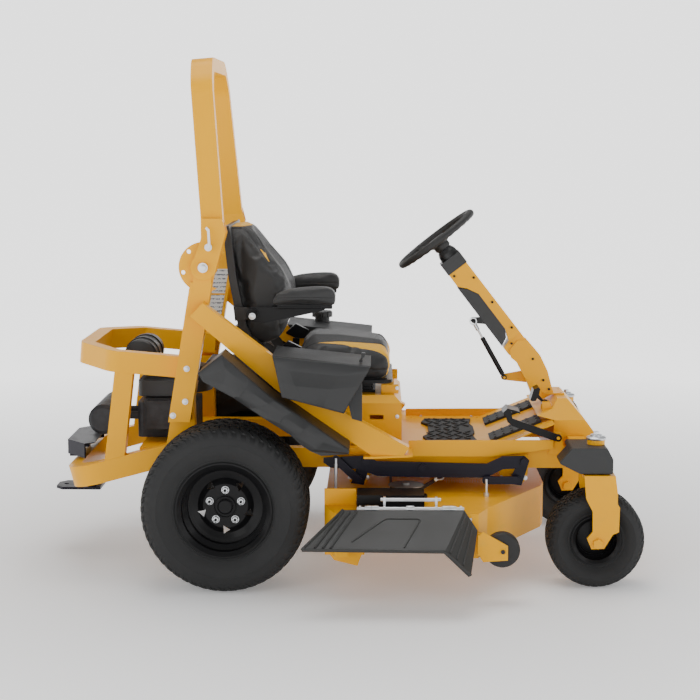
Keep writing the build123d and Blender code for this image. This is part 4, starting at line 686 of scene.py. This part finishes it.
chute = {"inner": [(413, 318), (823, 318), (868, 249)], "outer": [(281, 222), (752, 218), (838, 138)],
         "innerY": -714, "outerY": -880}


def onChute(share, across, lift=0.0):
    # share 0..1 runs along the sheet to its bend and 1..2 down the front curl
    index = min(int(share), 1)
    part = share - index
    ends = []
    for line, y in ((chute["inner"], chute["innerY"]), (chute["outer"], chute["outerY"])):
        (x, z), (nextX, nextZ) = line[index], line[index + 1]
        ends.append(Vector((x + (nextX - x) * part, y, z + (nextZ - z) * part)))
    place = ends[0].lerp(ends[1], across)
    return place + Vector((0.45 * index, -0.4, 0.8)).normalized() * lift


def tube(bm, points, radius, segments=8):
    # sweeps a circle along a line of points
    points = [Vector(point) for point in points]
    rings = []
    for index, point in enumerate(points):
        ahead = points[min(index + 1, len(points) - 1)] - points[max(index - 1, 0)]
        turn = ahead.to_track_quat("Z", "X").to_matrix().to_4x4()
        made = bmesh.ops.create_circle(bm, cap_ends=index in (0, len(points) - 1), segments=segments, radius=radius,
                                       matrix=Matrix.Translation(point) @ turn)
        ring = made["verts"]
        rings.append([edge for edge in bm.edges if all(vert in ring for vert in edge.verts)
                      and sum(vert in ring for vert in edge.verts) == 2])
    for first, second in zip(rings, rings[1:]):
        bmesh.ops.bridge_loops(bm, edges=first + second)


bm = bmesh.new()
for share in (0.02, 0.075, 0.13):
    tube(bm, [onChute(share + 0.02 * step, 0.06 + 0.30 * step, 0.6) for step in range(4)], 4.2)
tube(bm, [onChute(0.0, step / 6, 0.0) for step in range(7)], 5.0)
tube(bm, [onChute(step / 8, 1, 0.0) for step in range(9)]
     + [onChute(1 + step / 3, 1, 0.0) for step in range(1, 4)], 4.5)
tube(bm, [onChute(0.30, 0.80, 0), onChute(0.40, 0.26, 0.3), onChute(0.42, 0.22, 0.3), onChute(0.66, 0.22, 0.3),
          onChute(0.69, 0.26, 0.3), onChute(0.70, 0.92, 0)], 3.0)
for share in (1.16, 1.42, 1.68):
    tube(bm, [onChute(share, 0.05 + 0.18 * step, 0.4) for step in range(6)], 3.2)
bmesh.ops.recalc_face_normals(bm, faces=bm.faces)
settle("chuteRibs", bm, "chutePlastic", "chute", sharp=50)

bm = bmesh.new()
for x in (500, 520, 640, 762, 782):
    spun(bm, [(0, -14), (9, -14), (10.4, -12), (10.4, 12), (9, 14), (0, 14)], (x, -702, 320), (1, 0, 0), 20)
for start in (486, 742):
    coil = bmesh.ops.create_circle(bm, segments=6, radius=1.6,
                                   matrix=Matrix.Translation((start, -702, 332)) @ Matrix.Rotation(pi / 2, 4, "Y"))
    ring = coil["verts"]
    edges = list({edge for vert in ring for edge in vert.link_edges})
    bmesh.ops.spin(bm, geom=ring + edges, cent=(start, -702, 320), axis=(1, 0, 0), dvec=(0.34, 0, 0),
                   angle=2 * pi * 9, steps=9 * 14, use_merge=False, use_normal_flip=False, use_duplicate=False)
bmesh.ops.recalc_face_normals(bm, faces=bm.faces)
settle("chuteHingeSprings", bm, "zincPlate", "deck", sharp=40)
print("chute ribbed")


# helper springs and kingpin caps

bm = bmesh.new()
for side in sides.values():
    y = side * 352
    spun(bm, [(0, 0), (33, 0), (35, 3), (35, 7), (32, 10), (22, 12), (20, 17), (0, 19)], (1293, side * 472, 518),
         (0, 0, 1), 40)
    bmesh.ops.create_cone(bm, cap_ends=True, segments=6, radius1=11, radius2=11, depth=9,
                          matrix=Matrix.Translation((1293, side * 472, 541)))
    wire = bmesh.ops.create_circle(bm, segments=8, radius=2.1,
                                   matrix=Matrix.Translation((768, y, 346 + 11)) @ Matrix.Rotation(pi / 2, 4, "Y"))
    ring = wire["verts"]
    edges = list({edge for vert in ring for edge in vert.link_edges})
    turns, perTurn = 34, 16
    bmesh.ops.spin(bm, geom=ring + edges, cent=(768, y, 346), axis=(1, 0, 0),
                   dvec=(198 / turns / perTurn, 0, -4 / turns / perTurn), angle=2 * pi * turns,
                   steps=turns * perTurn, use_merge=False, use_normal_flip=False, use_duplicate=False)
    tube(bm, [(738, y, 346), (750, y, 346), (762, y, 347), (768, y, 357)], 2.6)
    tube(bm, [(966, y, 353), (972, y, 343), (980, y, 341), (990, y, 341)], 2.6)
    tube(bm, [(738, y + 8, 347), (738, y - 8, 347)], 6, 12)
    tube(bm, [(988, side * 330, 341.5), (988, side * 358, 341.5)], 5, 12)
    brace = bmesh.ops.create_cube(bm, size=1, matrix=Matrix.Translation((738, side * 342, 374)) @ Matrix.Diagonal(
        (10, 32, 62, 1)))
    bmesh.ops.bevel(bm, geom=list({edge for vert in brace["verts"] for edge in vert.link_edges}), offset=1.5,
                    offset_type="OFFSET", segments=2, profile=0.5, affect="EDGES", material=-1)
bmesh.ops.recalc_face_normals(bm, faces=bm.faces)
settle("springsAndCaps", bm, "zincPlate", "chassis", ["chassis_hardware"], sharp=40)
print("springs wound")


# steering wheel

wheel = {"radius": 172, "grip": 13.5, "tilt": radians(37.5), "knee": (1066, 770), "out": 526}
alongColumn = Vector((-sin(wheel["tilt"]), 0, cos(wheel["tilt"])))
acrossColumn = Vector((cos(wheel["tilt"]), 0, sin(wheel["tilt"])))
wheelMiddle = Vector((wheel["knee"][0], 0, wheel["knee"][1])) + alongColumn * wheel["out"]

bm = bmesh.new()
steps = 144
circle = bmesh.ops.create_circle(bm, segments=14, radius=wheel["grip"], matrix=Matrix.Translation(
    wheelMiddle + acrossColumn * (wheel["radius"] - wheel["grip"])) @ Matrix.Rotation(pi / 2, 4, "X"))
ring = circle["verts"]
edges = list({edge for vert in ring for edge in vert.link_edges})
bmesh.ops.spin(bm, geom=ring + edges, cent=wheelMiddle, axis=alongColumn, angle=2 * pi, steps=steps, use_merge=True,
               use_normal_flip=False, use_duplicate=False)
bmesh.ops.remove_doubles(bm, verts=bm.verts, dist=0.01)
for vert in bm.verts:
    arm = vert.co - wheelMiddle
    flat = arm - alongColumn * arm.dot(alongColumn)
    turn = flat.angle(acrossColumn) * (1 if flat.y > 0 else -1)
    core = wheelMiddle + flat.normalized() * (wheel["radius"] - wheel["grip"])
    around = vert.co - core
    under = max(-around.normalized().dot(alongColumn + flat.normalized() * 0.6), 0) ** 0.6
    vert.co -= around * 0.16 * under * (0.5 + 0.5 * cos(turn * 28))
spun(bm, [(0, -49), (25, -49), (31, -42), (31, -28), (46, -20), (48, -14), (48, -7), (40, -1), (34, 1), (32, 3),
          (16, 4.5), (0, 5)], wheelMiddle, alongColumn, 40)
for turn in (radians(90), radians(210), radians(330)):
    outward = Vector((0, 1, 0)) * cos(turn) + acrossColumn * sin(turn)
    sideways = outward.cross(alongColumn)
    stations = [(30, -12, 30, 9), (48, -13, 27, 8), (80, -10, 22, 7), (115, -5, 22, 7), (146, -1, 28, 8),
                (156, 0, 34, 9)]
    loops = []
    for reach, drop, width, thick in stations:
        middle = wheelMiddle + outward * reach + alongColumn * drop
        turnTo = Matrix((sideways, alongColumn, outward)).transposed().to_4x4()
        made = bmesh.ops.create_circle(bm, segments=16, radius=1, matrix=Matrix.Translation(middle) @ turnTo
                                       @ Matrix.Diagonal((width / 2, thick / 2, 1, 1)))
        loops.append(list({edge for vert in made["verts"] for edge in vert.link_edges}))
    for first, second in zip(loops, loops[1:]):
        bmesh.ops.bridge_loops(bm, edges=first + second)
bmesh.ops.recalc_face_normals(bm, faces=bm.faces)
settle("steeringWheelGrip", bm, "matRubber", "steering_wheel", ["steering_wheel"], sharp=45)
print("steering wheel made")


# bolts, label plates and mat treads

def hexBolt(bm, place, direction, size, washer=True):
    direction = Vector(direction).normalized()
    turn = direction.to_track_quat("Z", "X").to_matrix().to_4x4()
    start = Vector(place)
    if washer:
        bmesh.ops.create_cone(bm, cap_ends=True, segments=20, radius1=size * 1.35, radius2=size * 1.35, depth=1.8,
                              matrix=Matrix.Translation(start + direction * 0.9) @ turn)
    head = bmesh.ops.create_cone(bm, cap_ends=True, segments=6, radius1=size, radius2=size, depth=size * 0.8,
                                 matrix=Matrix.Translation(start + direction * (size * 0.4 + 1.6)) @ turn)
    top = [face for face in bm.faces if all(vert in head["verts"] for vert in face.verts)
           and face.calc_center_median().dot(direction) > (start + direction * (size * 0.7)).dot(direction)
           and len(face.verts) == 6]
    bmesh.ops.bevel(bm, geom=list({edge for face in top for edge in face.edges}), offset=size * 0.12,
                    offset_type="OFFSET", segments=2, profile=0.5, affect="EDGES", material=-1)


bm = bmesh.new()
for side in sides.values():
    out = (0, side, 0)
    for x, z in ((-143, 757), (-194, 590), (-150, 640)):
        hexBolt(bm, (x, side * 431, z), out, 8)
    for x, z in ((975, 374), (1060, 374), (430, 374), (492, 374)):
        hexBolt(bm, (x, side * 333, z - 24), out, 6)
    hexBolt(bm, (1325, side * 432, 470), (0.3, side * 0.2, 1), 5)
    for x, y, z in ((700, 320, 459), (900, 320, 459), (590, 300, 459)):
        hexBolt(bm, (x, side * y, z), (0, 0, 1), 5)
    hexBolt(bm, (600, side * 262.5, 560), (0, side, 0), 5)
    hexBolt(bm, (600, side * 202, 655), (0, side, 0), 5)
settle("chassisBolts", bm, "zincPlate", "chassis", sharp=30)

bm = bmesh.new()
for side in sides.values():
    for x, z in ((1028, 800), (1108, 742), (1148, 662), (1170, 628)):
        hexBolt(bm, (x, side * 42, z), (0, side, 0), 5, False)
settle("columnBolts", bm, "blackPaint", "chassis", sharp=30)
bm = bmesh.new()
for side in sides.values():
    for out, across in ((95, 24), (215, 24), (330, 24), (378, -30)):
        place = Vector((wheel["knee"][0], side * 42, wheel["knee"][1])) + alongColumn * out + acrossColumn * across
        hexBolt(bm, place, (0, side, 0), 5, False)
settle("upperColumnBolts", bm, "blackPaint", "column", sharp=30)


def labelPlate(bm, corners, lift, direction):
    direction = Vector(direction)
    ring = [bm.verts.new(Vector(corner) + direction * lift) for corner in corners]
    face = bm.faces.new(ring)
    grown = bmesh.ops.extrude_face_region(bm, geom=[face])["geom"]
    bmesh.ops.translate(bm, verts=[part for part in grown if isinstance(part, bmesh.types.BMVert)],
                        vec=direction * 0.4)


def uprightX(z, forward):
    lean = radians(9.6)
    return -80 - (1115 - z) * sin(lean) / cos(lean) + forward / cos(lean)


def strip(low, high, fromForward, toForward, y):
    return [(uprightX(low, fromForward), y, low), (uprightX(low, toForward), y, low),
            (uprightX(high, toForward), y, high), (uprightX(high, fromForward), y, high)]


labelPaper = Finish("labelPaper", Roughness=0.35, Coat_Weight=0.4)
rows = labelPaper.math("FRACT", labelPaper.xyz(2) * 62)
blobs = labelPaper.noise(160, 2)
labelPaper.set(Base_Color=labelPaper.mix((rows < 0.34) * (blobs > 0.47), (0.62, 0.62, 0.6), (0.05, 0.06, 0.09)))
finishes["labelPaper"] = labelPaper.material
bm = bmesh.new()
labelPlate(bm, strip(945, 1042, -26, 26, 379.7), 0.1, (0, -1, 0))
labelPlate(bm, strip(862, 938, -26, 26, 379.7), 0.1, (0, -1, 0))
bmesh.ops.recalc_face_normals(bm, faces=bm.faces)
settle("hoopLabels", bm, "labelPaper", "chassis", sharp=30)

bm = bmesh.new()
matTop = 468
for side in (-1, 1):
    for row in range(5):
        for column in range(5):
            x = 722 + row * 34 + (8 if column % 2 else 0)
            y = side * (22 + column * 44)
            if abs(y) > 200 or (row in (0, 4) and abs(y) < 60):
                continue
            bar = bmesh.ops.create_cube(bm, size=1, matrix=Matrix.Translation((x, y, matTop + 1.6)) @ Matrix.Rotation(
                side * (0.5 if (row + column) % 2 else -0.5), 4, "Z") @ Matrix.Diagonal((9, 36, 4.6, 1)))
            bmesh.ops.bevel(bm, geom=list({edge for vert in bar["verts"] for edge in vert.link_edges}), offset=1.2,
                            offset_type="OFFSET", segments=1, profile=0.5, affect="EDGES", material=-1)
rampSlope = 0.379
for side in (-1, 1):
    for row in range(6):
        x = 962 + row * 30
        z = 455 + 4 + 9.4 + (x - 936) * 0.398
        for y in (128, 170, 212):
            bar = bmesh.ops.create_cube(bm, size=1, matrix=Matrix.Translation((x - 3.5, side * y, z + 0.4))
                                        @ Matrix.Rotation(-rampSlope, 4, "Y") @ Matrix.Diagonal((8, 34, 5, 1)))
            bmesh.ops.bevel(bm, geom=list({edge for vert in bar["verts"] for edge in vert.link_edges}), offset=1.2,
                            offset_type="OFFSET", segments=1, profile=0.5, affect="EDGES", material=-1)
settle("matTreads", bm, "matRubber", "chassis", sharp=30)
print("small parts made")

bm = bmesh.new()
for side in sides.values():
    hexBolt(bm, (-80, side * 452, 1115), (0, side, 0), 13)
settle("hoopPivotBolts", bm, "zincPlate", "chassis", sharp=30)

for sideName, side in sides.items():
    bm = bmesh.new()
    hexBolt(bm, (81, side * 327.3, 932), (0, side, 0), 9)
    settle(f"armPivotBolt_{sideName}", bm, "zincPlate", f"armrest_{sideName}", sharp=30)
    bm = bmesh.new()
    bar = bmesh.ops.create_cube(bm, size=1, matrix=Matrix.Translation((268, side * 299, 966)) @ Matrix.Diagonal(
        (196, 44, 17, 1)))
    bmesh.ops.bevel(bm, geom=bm.edges[:], offset=2, offset_type="OFFSET", segments=2, profile=0.5, affect="EDGES",
                    material=-1)
    settle(f"armPlate_{sideName}", bm, "blackPaint", f"armrest_{sideName}", sharp=30)
    bm = bmesh.new()
    for index in range(5):
        turn = radians(18 + 72 * index)
        hexBolt(bm, (57.5 * cos(turn), side * 550.3, 292 + 57.5 * sin(turn)), (0, side, 0), 10)
    settle(f"wheelNuts_{sideName}", bm, "zincPlate", f"rear_wheel_{sideName}", sharp=30)
print("bolts made")

# floor: a curved glowing backdrop whose glow is dimmed near the machine as a painted shadow

ground = bmesh.new()
bowl = [(0, 0), (14, 0), (18, 0.15), (23, 0.9), (29, 2.5), (36, 5.2), (44, 9)]
spun(ground, bowl, (0, 0, 0), (0, 0, 1), 96)
floorMesh = bpy.data.meshes.new("floor")
ground.to_mesh(floorMesh)
ground.free()
for polygon in floorMesh.polygons:
    polygon.use_smooth = True
floor = bpy.data.objects.new("floor", floorMesh)
scene.collection.objects.link(floor)
floorWithPaintedShadow = Finish("floorWithPaintedShadow", Roughness=0.7, Emission_Strength=1.7)
away = floorWithPaintedShadow.math("SQRT", floorWithPaintedShadow.xyz(0) * floorWithPaintedShadow.xyz(0) + floorWithPaintedShadow.xyz(1) * floorWithPaintedShadow.xyz(1))
# painted shadow: the emission colour is dark near the machine and white far off, standing in for its contact shadow
floorWithPaintedShadow.set(Emission_Color=floorWithPaintedShadow.mix(floorWithPaintedShadow.ramp(away * 0.1, (0.1, 0.0), (0.5, 1.0)),
                                           (0.12, 0.12, 0.12), (1.0, 1.0, 1.0)))
floorWithPaintedShadow.set(Base_Color=floorWithPaintedShadow.mix(floorWithPaintedShadow.noise(1.5) * 0.3, (0.92, 0.92, 0.92), (0.9, 0.9, 0.9)))
floorMesh.materials.append(floorWithPaintedShadow.material)
